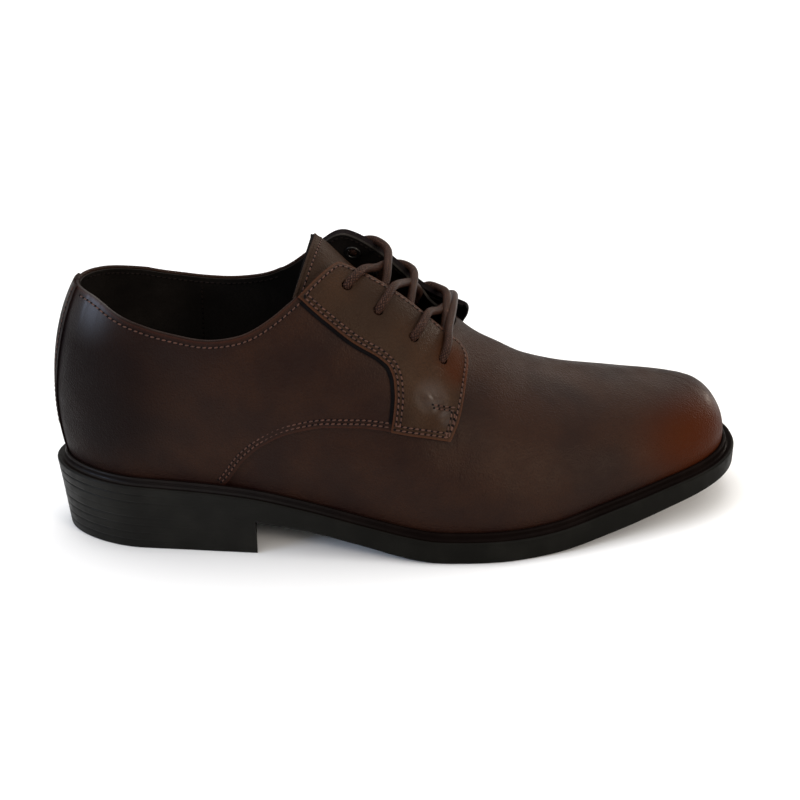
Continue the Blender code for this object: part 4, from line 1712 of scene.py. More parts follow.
    def foot_share(self, side: Side, t: Array) -> Array:
        """Share where the quarter's lower edge crosses each step, or 0 where it runs under the bead.

        Args:
            side: Side of the shoe.
            t: Steps along it.

        Returns:
            One share for each step.
        """
        share = np.zeros_like(t)
        foot_rows = self.seam(side, QUARTER_FOOT)
        front_rows = self.seam(side, QUARTER_FRONT)
        for _ in range(self.crossing_rounds):
            x = self.last.on(side, t, share)[..., 0]
            low = monotone(foot_rows, "height", x)
            front = monotone(front_rows, "height", x)
            height = np.where(x > front_rows[0].station, front, low)
            share = self.last.reach(side, t, height, Axis.UP)
        return np.where(self.last.station(t) < foot_rows[0].station, 0.0, share)

    def quarter_edge(self, side: Side) -> Path:
        """Steps and shares along the quarter's lower and front edge."""
        rows = []
        for table, count in zip((QUARTER_FOOT, QUARTER_FRONT), self.edge_samples):
            stations = np.linspace(table[0].station, table[-1].station, count)
            rows += [PointRow(x, float(monotone(table, "height", x))) for x in stations[1 if rows else 0:]]
        return self.last.locate(side, self.seam(side, rows))

    def edge_line(self, side: Side) -> Array:
        """Points along the quarter's lower and front edge."""
        return self.last.on(side, *self.quarter_edge(side))

    def throat_line(self, side: Side) -> Array:
        """Points along the front end of the facing's top edge."""
        front = self.seam(side, QUARTER_FRONT)[-1].station
        t = self.last.step(np.linspace(self.throat_cover[0] - self.throat_back, front, self.throat_samples))
        return self.last.on(side, t, self.last.top(side, t))

    def vamp_lift(self, side: Side, points: Array, under: Array) -> Array:
        """Offset of the vamp, which dips to pass under the quarter.

        Args:
            side: Side of the shoe.
            points: Points on the form.
            under: True where the quarter covers them.

        Returns:
            Lift for each point.
        """
        gap = nearest(points, np.concatenate([self.edge_line(side), self.throat_line(side)]))
        dip = 1 - ease(*self.sink_reach, gap)
        return -self.sink * np.where(under, 1.0, dip) + self.dented(points) * ~under

    def build_vamp(self, finish: Material) -> Piece:
        """Build the plain vamp with its toe, down to the bead on both sides.

        Args:
            finish: Leather of the panel.

        Returns:
            The vamp.
        """
        last = self.last
        rear_count, closing_count, fore_count = self.vamp_columns
        end = float(last.step(last.throat_end))
        rear = np.linspace(float(last.step(self.vamp_start)), end, rear_count)
        length, first = self.vamp_closing
        closing = last.step(last.throat_end - length * np.linspace(first, 0.0, closing_count) ** 2)
        t = np.unique(np.concatenate([rear, closing, np.linspace(end, 1.0, fore_count)]))
        x = last.station(t)
        sheets = Sheets(last)
        rows = np.linspace(0, 1, self.vamp_rows)[:, None]
        for side in Side:
            foot = self.foot_share(side, t)
            cover = foot + self.overlap + ease(*self.throat_cover, x)
            a = rows * np.minimum(cover, last.top(side, t, rounded=True))[None, :]
            points = last.on(side, t, a)
            ahead = x < self.seam(side, QUARTER_FRONT)[-1].station
            under = (a > foot[None, :]) & ahead[None, :] & (a < last.top(side, t)[None, :])
            # Darkening of the vamp beside the quarter's edge: painted shade under that edge, with some dirt.
            seam = bell(nearest(points, self.edge_line(side)), self.seam_width)
            lift = self.vamp_lift(side, points, under)
            sheets.add(last.lay(side, t, a, lift), side is Side.MEDIAL, seam)
        sheets.even_ridge(*self.vamp_evening)
        piece = sheets.piece("vamp", finish)
        thicken(piece, self.vamp_thickness)
        round_leather(piece, self.vamp_edge)
        return place(piece, "upper_leather", "upper")

    def build_quarter(self, side: Side, finish: Material, dye: Material) -> Piece:
        """Build one quarter, from the back seam to the front edge of its facing.

        Args:
            side: Side of the shoe.
            finish: Leather of the panel.
            dye: Finish of its cut edges.

        Returns:
            The quarter.
        """
        last = self.last
        front_rows = self.seam(side, QUARTER_FRONT)
        front = float(last.step(front_rows[-1].station - self.facing_lap))
        corner = float(last.step(front_rows[0].station))
        back_count, front_count = self.quarter_columns
        ahead = np.linspace(corner, front, front_count)[1:]
        t = np.concatenate([np.linspace(0.0, corner, back_count), ahead])
        high = last.top(side, t)
        tuck = self.quarter_tuck * ease(*self.quarter_tucks, last.station(t) - front_rows[0].station)
        low = np.minimum(self.foot_share(side, t) + tuck, high - self.quarter_least)
        a = low[None, :] + np.linspace(0, 1, self.quarter_rows)[:, None] * (high - low)[None, :]
        points = last.on(side, t, a)
        gap = np.minimum(nearest(points, self.edge_line(side)), nearest(points, last.on(side, t, high)))
        lift = self.dented(points) * (1 - self.under_facing(side, points)) + last.curled(side, points)
        seam = bell(gap - self.quarter_seam, self.seam_width)
        sheets = Sheets(last)
        # Nearness to the cut edges, lightened in the finish as a painted highlight.
        sheets.add(last.lay(side, t, a, lift), side is Side.MEDIAL, seam, worn=bell(gap, self.quarter_worn))
        piece = sheets.piece("quarter_" + side.word, finish, dye)
        thicken(piece, self.quarter_thickness, back_slot=1)
        return piece

    def under_facing(self, side: Side, points: Array) -> Array:
        """1 where a quarter's point lies below the facing, fading out past the facing's rear edge."""
        line = self.last.on(side, *self.rear_path(side))
        order = np.argsort(line[:, 2])
        rear = np.interp(points[..., 2], line[order, 2], line[order, 0])
        return ease(-self.facing_fade, 0.0, points[..., 0] - rear)

    def rear_path(self, side: Side) -> Path:
        """Steps and shares down the facing's rear edge.

        Args:
            side: Side of the shoe.

        Returns:
            Steps and shares from its top to its foot.
        """
        knots = np.linspace(0, 1, len(FACING_REAR))
        spread = [PointRow(knot, row.station) for knot, row in zip(knots, FACING_REAR)]
        fall = [PointRow(knot, row.height) for knot, row in zip(knots, FACING_REAR)]
        rows = []
        for share in np.linspace(0, 1, self.facing_samples[1]):
            station, height = (float(monotone(table, "height", share)) for table in (spread, fall))
            rows.append(PointRow(station, height))
        return self.last.locate(side, self.seam(side, rows))

    def facing_edges(self, side: Side) -> dict[str, Path]:
        """Steps and shares of the facing's four edges, from its rear and top corners.

        Args:
            side: Side of the shoe.

        Returns:
            Paths by the edge's name.
        """
        last = self.last
        rear_t, rear_a = self.rear_path(side)
        edge_t, edge_a = self.quarter_edge(side)
        corner = int(np.argmin(np.abs(edge_t - last.step(self.seam(side, QUARTER_FRONT)[0].station))))
        start = int(np.argmin(np.abs(edge_t - rear_t[-1])))
        top_t = np.linspace(rear_t[0], edge_t[-1], self.facing_samples[0])
        top_a = last.top(side, top_t)
        front_a = edge_a[corner:][::-1].copy()
        front_a[0] = top_a[-1]
        rear_a[0] = top_a[0]
        rear_t[-1] = edge_t[start]
        rear_a[-1] = edge_a[start]
        return {
            "top": (top_t, top_a),
            "bottom": (edge_t[start:corner + 1], edge_a[start:corner + 1]),
            "rear": (rear_t, rear_a),
            "front": (edge_t[corner:][::-1], front_a),
        }

    def facing_grid(self, side: Side) -> Array:
        """Steps and shares over one facing as pairs by row and column, with its top front corner rounded."""
        edges = self.facing_edges(side)
        counts = {"top": self.facing_columns, "bottom": self.facing_columns}
        counts |= {"rear": self.facing_rows, "front": self.facing_rows}
        lines = [np.stack(self.last.evened(side, edges[name], count), -1) for name, count in counts.items()]
        wide, tall = (self.facing_round / size for size in self.facing_size)
        return self.round_corner(patch(*lines), wide, tall)

    @staticmethod
    def round_corner(grid: Array, wide: float, tall: float) -> Array:
        """Round off the corner at the first row and last column of a grid.

        Args:
            grid: Values by row and column.
            wide: Share of the columns that the corner takes.
            tall: Share of the rows that it takes.

        Returns:
            The grid with its corner pulled in.
        """
        rows, columns = grid.shape[:2]
        u, v = np.meshgrid(np.linspace(0, 1, columns), np.linspace(0, 1, rows))
        p = np.clip((u - 1 + wide) / wide, 0, 1)
        q = np.clip((tall - v) / tall, 0, 1)
        u = np.where(q > 0, np.where(p > 0, 1 - wide + wide * p * np.sqrt(1 - q * q / 2), u), u)
        v = np.where(p > 0, np.where(q > 0, tall - tall * q * np.sqrt(1 - p * p / 2), v), v)
        j = np.clip((u * (columns - 1)).astype(int), 0, columns - 2)
        i = np.clip((v * (rows - 1)).astype(int), 0, rows - 2)
        fu = (u * (columns - 1) - j)[..., None]
        fv = (v * (rows - 1) - i)[..., None]
        above = grid[i, j] * (1 - fu) + grid[i, j + 1] * fu
        below = grid[i + 1, j] * (1 - fu) + grid[i + 1, j + 1] * fu
        return above * (1 - fv) + below * fv

    def rim_gap(self, side: Side, points: Array) -> Array:
        """Distance of points from the rim of one side's facing."""
        grid = self.facing_grid(side)
        rim = np.concatenate([grid[0], grid[:, 0], grid[-1], grid[:, -1]])
        return nearest(points, self.last.on(side, rim[:, 0], rim[:, 1]))

    def facing_rise(self, points: Array, gap: Array) -> Array:
        """Puckers of a facing, and the fall to its rim, at points with a given distance from the rim."""
        fall = self.facing_fall * bell(gap, self.facing_fall_width)
        return self.dented(points) * ease(0.0, self.facing_fade, gap) - fall

    def build_facing(self, side: Side, finish: Material, dye: Material) -> Piece:
        """Build one eyelet facing over its quarter.

        Args:
            side: Side of the shoe.
            finish: Leather of the panel.
            dye: Finish of its cut edges.

        Returns:
            The facing.
        """
        flat = self.facing_grid(side)[::-1]
        t = flat[..., 0]
        a = flat[..., 1]
        points = self.last.on(side, t, a)
        gap = self.rim_gap(side, points)
        lift = self.facing_face + self.facing_rise(points, gap) + self.last.curled(side, points)
        seam = bell(gap - self.facing_seam, self.seam_width)
        # Nearness to the cut edges, lightened in the finish as a painted highlight.
        worn = bell(gap, self.facing_worn)
        sheets = Sheets(self.last)
        sheets.add(self.last.lay(side, t, a, lift), side is Side.MEDIAL, seam, worn=worn)
        piece = sheets.piece("eyelet_facing_" + side.word, finish, dye)
        thicken(piece, self.facing_thickness, back_slot=1)
        return piece

    def build_underlay(self, finish: Material) -> Piece:
        """Build the dark strip along the facings' rear edges, which paints the shadow in the gap under each
        edge together with the edge's dye.

        Args:
            finish: Dark dye of the strip.

        Returns:
            The dark strip of both facings.
        """
        last = self.last
        sheets = Sheets(last)
        for side in Side:
            path = last.spaced(side, self.facing_edges(side)["rear"], self.underlay_pitch)
            rows = []
            for row in self.underlay:
                t, a = last.shifted(side, path, row.aside * -side.value)
                rows.append(last.lay(side, t[2:-3], a[2:-3], row.up))
            sheets.add(np.array(rows), side is Side.MEDIAL)
        return place(sheets.piece("facing_shadow_underlay", finish), "facing_leather")

    def build_topline(self, finish: Material) -> Piece:
        """Build the rolled edge of the collar.

        Args:
            finish: Leather of the edge.

        Returns:
            The rolled edge.
        """
        last = self.last
        sheets = Sheets(last)
        turns = np.linspace(0, 2 * math.pi, self.topline_sides + 1)
        for side in Side:
            t = np.linspace(0.0, float(self.facing_edges(side)["top"][0][0]), self.topline_columns)
            a = last.top(side, t)
            line = last.lay(side, t, a, -self.topline_depth)
            ahead = unit(np.gradient(line, axis=0))
            ahead[0] = (0.0, side.value, 0.0)
            out = last.normal(side, t, a)
            out = unit(out - ahead * (out * ahead).sum(-1, keepdims=True))
            over = np.cross(ahead, out)
            rows = []
            for turn in turns:
                rows.append(line + (out * math.cos(turn) + over * math.sin(turn)) * self.topline_radius)
            sheets.add(np.array(rows), side is Side.MEDIAL)
        return place(sheets.piece("collar_edge", finish), "upper_leather")

    def build_lining(self, finish: Material) -> Piece:
        """Build the lining inside the whole upper, which goes deeper behind the vamp.

        Args:
            finish: Leather of the lining.

        Returns:
            The lining, without its holes.
        """
        last = self.last
        end = float(last.step(last.throat_end))
        rear_count, fore_count = self.lining_columns
        t = np.concatenate([np.linspace(0.0, end, rear_count), np.linspace(end, 1.0, fore_count)[1:]])
        rows = np.linspace(0, 1, self.lining_rows)[:, None]
        deeper = self.sink + self.vamp_thickness + self.lining_margin - self.lining_gap
        throat = self.throat_cover[0]
        below_throat = ease(throat - self.lining_throat, throat, last.station(t))
        dips = [self.overlap + dip for dip in self.lining_dips]
        sheets = Sheets(last)
        for side in Side:
            a = rows * last.top(side, t, rounded=True)[None, :]
            behind = np.maximum(ease(*dips, a - self.foot_share(side, t)[None, :]), below_throat[None, :])
            lift = last.curled(side, last.on(side, t, a)) * (1 - behind) - self.lining_gap
            sheets.add(last.lay(side, t, a, lift - deeper * behind), side is Side.MEDIAL)
        piece = sheets.piece("lining", finish)
        thicken(piece, self.lining_thickness)
        return piece

    def build_strip(self, finish: Material) -> Piece:
        """Build the narrow strip over the back seam.

        Args:
            finish: Leather of the strip.

        Returns:
            The back strip.
        """
        last = self.last
        columns = np.linspace(0, 1, self.strip_columns)
        lift = self.strip_thickness * (1 - self.strip_thinning * columns ** 6) + self.strip_lift
        sheets = Sheets(last)
        for side in Side:
            top = float(last.top(side, np.array([0.0]))[0]) - self.strip_short
            places = []
            for share in np.linspace(0, 1, self.strip_rows):
                a = share * top
                t = columns * float(monotone(BACK_STRIP, "step", a))
                places.append(last.lay(side, t, np.full_like(t, a), lift))
            sheets.add(np.array(places), side is Side.MEDIAL)
        piece = sheets.piece("back_strip", finish)
        thicken(piece, self.strip_thickness)
        round_leather(piece, self.strip_edge)
        return place(piece, "upper_leather")

    def tongue_end(self, side: Side, w: Array) -> Array:
        """Station of the tongue's top edge at a share w of its half width."""
        sweep = self.tongue_sweep if side is Side.LATERAL else self.tongue_far_sweep
        return self.tongue_top - sweep * w ** 1.5

    def tongue_share(self, w: Array) -> Array:
        """Share up the cross curves at a share w of the tongue's half width."""
        return 1 - w * (1 - self.tongue_side)

    def build_tongue(self, finish: Material, dye: Material) -> Piece:
        """Build the tongue under the facings.

        Args:
            finish: Leather of its face.
            dye: Finish of its dark back.

        Returns:
            The tongue.
        """
        last = self.last
        along = np.linspace(1, 0, self.tongue_columns)
        from_edge, width = self.tongue_seam
        narrow, wider = self.tongue_rim_spread
        sheets = Sheets(last)
        for side in Side:
            places = []
            gaps = []
            for w in np.linspace(0, 1, self.tongue_rows):
                end = float(self.tongue_end(side, w))
                gaps.append(along * (self.tongue_root - end))
                a = np.full_like(along, self.tongue_share(w))
                places.append(last.lay(side, last.step(end + gaps[-1]), a, 0.0, TONGUE_FORM))
            seam = bell(np.array(gaps) - from_edge, width)
            sheets.add(np.array(places), side is Side.MEDIAL, seam)
            w = np.linspace(0, 1, self.tongue_rim_columns)
            rows = []
            for row in self.tongue_rim:
                spread = row.aside * (narrow + wider * w) if row.aside > 0 else row.aside * np.ones_like(w)
                t = last.step(self.tongue_end(side, w) + spread)
                rows.append(last.lay(side, t, self.tongue_share(w), row.up, TONGUE_FORM))
            # The tongue's rolled rim is darkened through the same mask as the painted seam shade.
            seam = self.tongue_rim_seam * np.ones((len(rows), len(w)))
            sheets.add(np.array(rows), side is Side.LATERAL, seam)
        piece = sheets.piece("tongue_pad", finish, dye)
        thicken(piece, self.tongue_thickness, back_slot=1)
        round_leather(piece, self.tongue_edge)
        return place(piece, "tongue_leather", "tongue")

    def eyelets(self, side: Side) -> Path:
        """Steps and shares of one side's eyelets, which lie further forward on the medial side.

        Args:
            side: Side of the shoe.

        Returns:
            Steps and shares, from the top.
        """
        t, a = self.last.locate(Side.LATERAL, EYELETS)
        if side is Side.LATERAL:
            return t, a
        margin = self.last.top(Side.LATERAL, t) - a
        station = self.last.station(t)
        t = self.last.step(station + self.medial_ahead(station))
        return t, self.last.top(side, t) - margin

    def hole_frames(self, side: Side) -> list[tuple[Vector, Matrix]]:
        """Outward direction of each eyelet on one side, and the matrix that turns a tool to it.

        Args:
            side: Side of the shoe.

        Returns:
            Directions and matrices, from the top.
        """
        t, a = self.eyelets(side)
        centres = self.last.lay(side, t, a, self.last.curled(side, self.last.on(side, t, a)))
        centres[:, 0] -= self.last.heel_centre
        frames = []
        for centre, normal in zip(centres, self.last.normal(side, t, a)):
            out = Vector(normal)
            turn = out.to_track_quat("Z", "Y").to_matrix().to_4x4()
            frames.append((out, Matrix.Translation(Vector(centre)) @ turn))
        return frames

    def punch(self, side: Side, *panels: Piece) -> None:
        """Punch the eyelets of one side through its layers.

        Args:
            side: Side of the shoe.
            panels: Layers to punch.
        """
        bm = bmesh.new()
        size = {"radius1": self.hole_radius, "radius2": self.hole_radius, "depth": self.hole_depth}
        for _, frame in self.hole_frames(side):
            bmesh.ops.create_cone(bm, cap_ends=True, segments=self.hole_sides, matrix=frame, **size)
        tool = shown("eyelet_punch", bm)
        for panel in panels:
            cut = panel.modifiers.new("eyelets", "BOOLEAN")
            cut.operation = "DIFFERENCE"
            cut.solver = "EXACT"
            cut.object = tool
            settle(panel)
        bpy.data.objects.remove(tool)

    def finish_panel(self, panel: Piece, slot: str, *nodes: str) -> Piece:
        """Round a punched panel's cut edges and fix it to the shoe, in place of nodes of the frame."""
        round_leather(panel, self.edge)
        return place(panel, slot, *nodes)


class Sewn(IntEnum):
    """Material slots of the stitches."""

    THREAD = 0
    HOLE = 1
    INNER_THREAD = 2


@dataclass(frozen=True)
class Stitching:
    """Rows of sewn stitches with their needle holes."""

    last: Last
    upper: Upper
    pitch: float = 0.0023
    fill: float = 0.76
    width: float = 0.00066
    height: float = 0.00046
    proud: float = 0.12
    slant: float = 7.0
    hole: Spot = (0.78, 0.26, 0.29)
    hole_proud: float = 0.00002
    spacing: float = 0.0012
    collar_below: float = 0.0022
    collar_start: float = 0.0035
    collar_ends: Span = (0.101, 0.095)
    collar_samples: int = 120
    foot_rows: tuple[float, ...] = (0.0017, 0.0033)
    foot_short: float = 0.002
    facing_rows: tuple[float, ...] = (0.0015, 0.0031)
    rim_row: float = 0.0017
    tack_samples: int = 8
    lining_seam_station: float = 0.062
    lining_seam_ends: Span = (0.12, 0.03)
    lining_seam_samples: int = 30
    strip_ends: Span = (0.13, 0.012)
    strip_samples: int = 60
    strip_share: float = 0.74
    tongue_below: float = 0.0022
    tongue_end: float = 0.97
    tongue_highest: float = 0.9995
    tongue_samples: int = 50

    def row(self, bm: Mesh, side: Side, path: Path, lift: float, inside: bool = False,
            form: Form = UPPER_FORM, facing: bool = False) -> None:
        """Sew one row of stitches.

        Args:
            bm: Mesh that takes the stitches.
            side: Side of the shoe.
            path: Steps and shares of the row.
            lift: Height of the leather's face over the form.
            inside: Sew on the inner face.
            form: Form of the sewn piece.
            facing: Follow the puckers of the facing.
        """
        t, a = self.last.spaced(side, path, self.pitch)
        base = self.last.section(side, t, form).at(a)
        curl = self.last.curled(side, base) if form is UPPER_FORM else 0.0
        if facing:
            curl = curl + self.upper.facing_rise(base, self.upper.rim_gap(side, base))
        points = self.last.lay(side, t, a, lift + curl, form)
        points[:, 0] -= self.last.heel_centre
        normals = self.last.normal(side, t, a, form) * (-1.0 if inside else 1.0)
        thread = Sewn.INNER_THREAD if inside else Sewn.THREAD
        for k in range(len(points) - 1):
            self.stitch(bm, points[k], points[k + 1], normals[k] + normals[k + 1], thread)

    def stitch(self, bm: Mesh, start: Array, end: Array, normal: Array, thread: Sewn) -> None:
        """Make one stitch between two needle holes.

        Args:
            bm: Mesh that takes it.
            start: First hole.
            end: Second hole.
            normal: Direction out of the leather.
            thread: Material slot of the thread.
        """
        out = Vector(normal).normalized()
        way = Vector(end - start)
        size = way.length
        way = Matrix.Rotation(math.radians(self.slant), 3, out) @ way.normalized()
        aside = out.cross(way).normalized()
        middle = (Vector(start) + Vector(end)) / 2 + out * self.height * self.proud
        axes = (aside * self.width / 2, out * self.height / 2, way * size * self.fill / 2)
        self.blob(bm, middle, axes, thread)
        # Dark lump at the needle hole: painted shade inside it.
        wide, tall, long = self.hole
        axes = (aside * self.width * wide, out * self.height * tall, way * size * long)
        self.blob(bm, Vector(start) + out * self.hole_proud, axes, Sewn.HOLE)

    @staticmethod
    @lru_cache(maxsize=None)
    def lump(slot: Sewn) -> bpy.types.Mesh:
        """Unit lump that every needle hole or stitch is copied from.

        Args:
            slot: Material slot of its faces.

        Returns:
            Mesh of radius 1.
        """
        bm = bmesh.new()
        bmesh.ops.create_uvsphere(bm, u_segments=6, v_segments=4 if slot is Sewn.HOLE else 6, radius=1.0)
        for face in bm.faces:
            face.smooth = True
            face.material_index = slot
        mesh = bpy.data.meshes.new("lump")
        bm.to_mesh(mesh)
        bm.free()
        return mesh

    def blob(self, bm: Mesh, middle: Vector, axes: Sequence[Vector], slot: Sewn) -> None:
        """Add one rounded lump.

        Args:
            bm: Mesh that takes it.
            middle: Its centre.
            axes: Its three half axes.
            slot: Its material slot.
        """
        shape = self.lump(slot).copy()
        shape.transform(Matrix.Translation(middle) @ Matrix(axes).transposed().to_4x4())
        bm.from_mesh(shape)
        bpy.data.meshes.remove(shape)

    def beside(self, side: Side, path: Path, distance: float, skip: int = 0, leave: int = 0) -> Path:
        """A row that keeps its distance from an edge.

        Args:
            side: Side of the shoe.
            path: Steps and shares of the edge.
            distance: Distance to the left of travel on the lateral side.
            skip: Samples left off at its start.
            leave: Samples left off at its end.

        Returns:
            Steps and shares of the row.
        """
        t, a = self.last.shifted(side, self.last.spaced(side, path, self.spacing), distance * -side.value)
        return t[skip:len(t) - leave], a[skip:len(a) - leave]

    def collar_path(self, side: Side) -> Path:
        """Row along the collar, which ends further back on the medial side."""
        end = self.collar_ends[0 if side is Side.LATERAL else 1]
        first, final = (float(self.last.step(station)) for station in (self.collar_start, end))
        t = np.linspace(first, final, self.collar_samples)
        return self.beside(side, (t, self.last.top(side, t)), -self.collar_below)

    def build(self, finishes: Finishes) -> Piece:
        """Sew every visible row into one piece, with the threads of the shoe's finishes."""
        bm = bmesh.new()
        for side in Side:
            self.sew(bm, side)
        threads = (finishes.thread, finishes.hole, finishes.inner_thread)
        piece = shown("stitches", bm, *(finish.material() for finish in threads))
        return place(piece, "lace_cord")

    def sew(self, bm: Mesh, side: Side) -> None:
        """Sew every row of one side.

        Args:
            bm: Mesh that takes the stitches.
            side: Side of the shoe.
        """
        upper = self.upper
        face = upper.facing_face
        inner = -(upper.lining_gap + upper.lining_thickness)
        edges = upper.facing_edges(side)
        collar = self.collar_path(side)
        self.row(bm, side, collar, 0.0)
        self.row(bm, side, collar, inner, inside=True)
        t, a = upper.quarter_edge(side)
        keep = t < edges["rear"][0][-1] - self.foot_short
        for distance in self.foot_rows:
            self.row(bm, side, self.beside(side, (t[keep], a[keep]), distance, 3, 0), 0.0)
        for distance in self.facing_rows:
            self.row(bm, side, self.beside(side, edges["rear"], distance, 2, 2), face, facing=True)
            self.row(bm, side, self.beside(side, edges["bottom"], distance, 1, 2), face, facing=True)
        grid = upper.facing_grid(side)
        rim = np.concatenate([grid[0], grid[1:, -1]])
        self.row(bm, side, self.beside(side, (rim[:, 0], rim[:, 1]), -self.rim_row, 2, 2), face, facing=True)
        self.row(bm, side, self.beside(side, edges["top"], -self.rim_row, 2, 8), inner, inside=True)
        for ends in TACKS:
            self.row(bm, side, self.tack(side, *ends), face, facing=True)
        self.row(bm, side, self.lining_seam(side), inner, inside=True)
        self.row(bm, side, self.strip_path(side), upper.strip_thickness)
        self.row(bm, side, self.tongue_path(side), 0.0, form=TONGUE_FORM)

    def tack(self, side: Side, start: PointRow, end: PointRow) -> Path:
        """Short row that holds the facing's lower front corner, from one point to another."""
        rows = []
        for share in np.linspace(0, 1, self.tack_samples):
            station = start.station + (end.station - start.station) * share
            rows.append(PointRow(station, start.height + (end.height - start.height) * share))
        return self.last.locate(side, self.upper.seam(side, rows))

    def lining_seam(self, side: Side) -> Path:
        """Upright seam in the lining."""
        t = np.full(self.lining_seam_samples, float(self.last.step(self.lining_seam_station)))
        top = float(self.last.top(side, t[:1])[0])
        low, short = self.lining_seam_ends
        return t, np.linspace(low, top - short, self.lining_seam_samples)

    def strip_path(self, side: Side) -> Path:
        """Row along one edge of the back strip."""
        top = float(self.last.top(side, np.array([0.0]))[0])
        low, short = self.strip_ends
        a = np.linspace(low, top - short, self.strip_samples)
        return monotone(BACK_STRIP, "step", a) * self.strip_share, a

    def tongue_path(self, side: Side) -> Path:
        """Row along half of the tongue's top edge."""
        w = np.linspace(0, self.tongue_end, self.tongue_samples)
        t = self.last.step(self.upper.tongue_end(side, w) + self.tongue_below)
        return t, np.minimum(self.upper.tongue_share(w), self.tongue_highest)


@dataclass(frozen=True)
class Lacing:
    """One cord through all eyelets, with the rings behind them."""

    last: Last
    upper: Upper
    radius: float = 0.00170
    press: float = 0.0008
    ahead: float = 0.0065
    bar_ahead: float = 0.0032
    under_ahead: float = 0.0037
    below_gap: float = 0.0004
    drop: float = 0.0010
    plug: float = 0.0006
    hole_share: float = 0.02
    hole_sink: float = 0.0006
    mouth_share: float = 0.20
    mouth_rise: float = 0.75
    middle_share: float = 0.60
    near_bows: tuple[tuple[OffsetRow, OffsetRow], ...] = (
        (OffsetRow(0.0017, 0.0002), OffsetRow(0.0022, 0.0012)),
        (OffsetRow(0.0000, 0.0025), OffsetRow(0.0001, 0.0034)),
        (OffsetRow(0.0017, 0.0002), OffsetRow(0.0022, 0.0012)),
    )
    far_bows: tuple[tuple[OffsetRow, OffsetRow], ...] = (
        (OffsetRow(0.0035, 0.0016), OffsetRow(0.0024, 0.0025)),
        (OffsetRow(0.0020, 0.0021), OffsetRow(0.0012, 0.0022)),
        (OffsetRow(0.0031, 0.0030), OffsetRow(0.0019, 0.0030)),
    )
    near_shares: Span = (0.38, 0.65)
    far_shares: Span = (0.29, 0.67)
    far_ahead: tuple[float, ...] = (0.0082, 0.0098, 0.0073)
    far_landing: tuple[OffsetRow, ...] = rows_of(OffsetRow, (
        (0.0034, 0.0028), (0.0002, 0.0028), (0.0026, 0.0028),
    ))
    bar_bow: OffsetRow = OffsetRow(0.0008, 0.0022)
    span_samples: int = 12
    spacing: float = 0.0006
    smoothings: int = 3
    sides: int = 14
    ring_radius: float = 0.0027
    ring_wire: float = 0.0006
    ring_gap: float = 0.0001
    ring_sides: int = 8
    ring_steps: int = 24

    def spots(self, side: Side, number: int) -> dict[str, Array]:
        """Centres of the cord at one eyelet.

        Args:
            side: Side of the shoe.
            number: Eyelet, from the top.

        Returns:
            Places in the hole, over the facing, over its edge and below it.
        """
        last = self.last
        t, a = (values[number:number + 1] for values in self.upper.eyelets(side))
        station = last.station(t)
        if number == len(EYELETS) - 1:
            ahead = self.bar_ahead
        else:
            ahead = self.ahead if side is Side.LATERAL else self.far_ahead[number]
        over_t = last.step(station + ahead)
        over_a = last.top(side, over_t)
        under_t = last.step(station + self.under_ahead)
        under_a = last.top(side, under_t)
        curl = last.curled(side, last.on(side, over_t, over_a))
        face = self.upper.facing_face + curl
        below = curl - (WALL + self.radius + self.below_gap)

        def part_way(share: float, lift: Array) -> Array:
            """Place at a share of the way from the hole to the facing's edge."""
            return last.lay(side, t + (over_t - t) * share, a + (over_a - a) * share, lift)[0]

        return {
            "plug": last.lay(side, t, a, curl - WALL - self.plug)[0],
            "below": last.lay(side, t, a, below)[0],
            "hole": part_way(self.hole_share, face - self.hole_sink),
            "mouth": part_way(self.mouth_share, face + self.radius * self.mouth_rise),
            "middle": part_way(self.middle_share, face + self.radius),
            "over": last.lay(side, over_t, over_a, face + self.radius - self.press)[0],
            "under": last.lay(side, under_t, under_a, below - self.drop)[0],
        }

    def chain(self, first: Side) -> list[Array]:
        """Half of the lace, from its hidden end at a top eyelet to the bar.

        Args:
            first: Side of the top eyelet.

        Returns:
            Places along the cord.
        """
        run = [self.spots(first, 0)["plug"]]
        side = first
        for number in range(len(EYELETS)):
            here = self.spots(side, number)
            run += [here["hole"], here["mouth"], here["middle"], here["over"]]
            if number < len(EYELETS) - 1:
                run += self.crossing(side, number, here["over"])
            side = side.other
        return run

    def crossing(self, side: Side, number: int, start: Array) -> list[Array]:
        """Places of the cord on its way across the tongue.

        Args:
            side: Side that it starts from.
            number: Eyelet that it starts from.
            start: Place over the facing's edge.

        Returns:
            Places up to the next eyelet of the other side.
        """
        there = self.spots(side.other, number + 1)
        near = side is Side.LATERAL
        landing = there["under"].copy()
        if not near:
            landing += (self.far_landing[number].aside, 0.0, self.far_landing[number].up)
        shares = self.near_shares if near else self.far_shares
        bows = self.near_bows[number] if near else self.far_bows[number]
        run = []
        for share, bow in zip(shares, bows):
            run.append(start + (landing - start) * share + np.array([bow.aside, 0.0, bow.up]))
        return run + [landing, there["below"]]

    def route(self) -> Array:
        """Smooth path of the whole lace."""
        one, two = (self.chain(side) for side in Side)
        bar = (one[-1] + two[-1]) / 2 + np.array([self.bar_bow.aside, 0.0, self.bar_bow.up])
        return self.smooth(np.array(one + [bar] + two[::-1]))

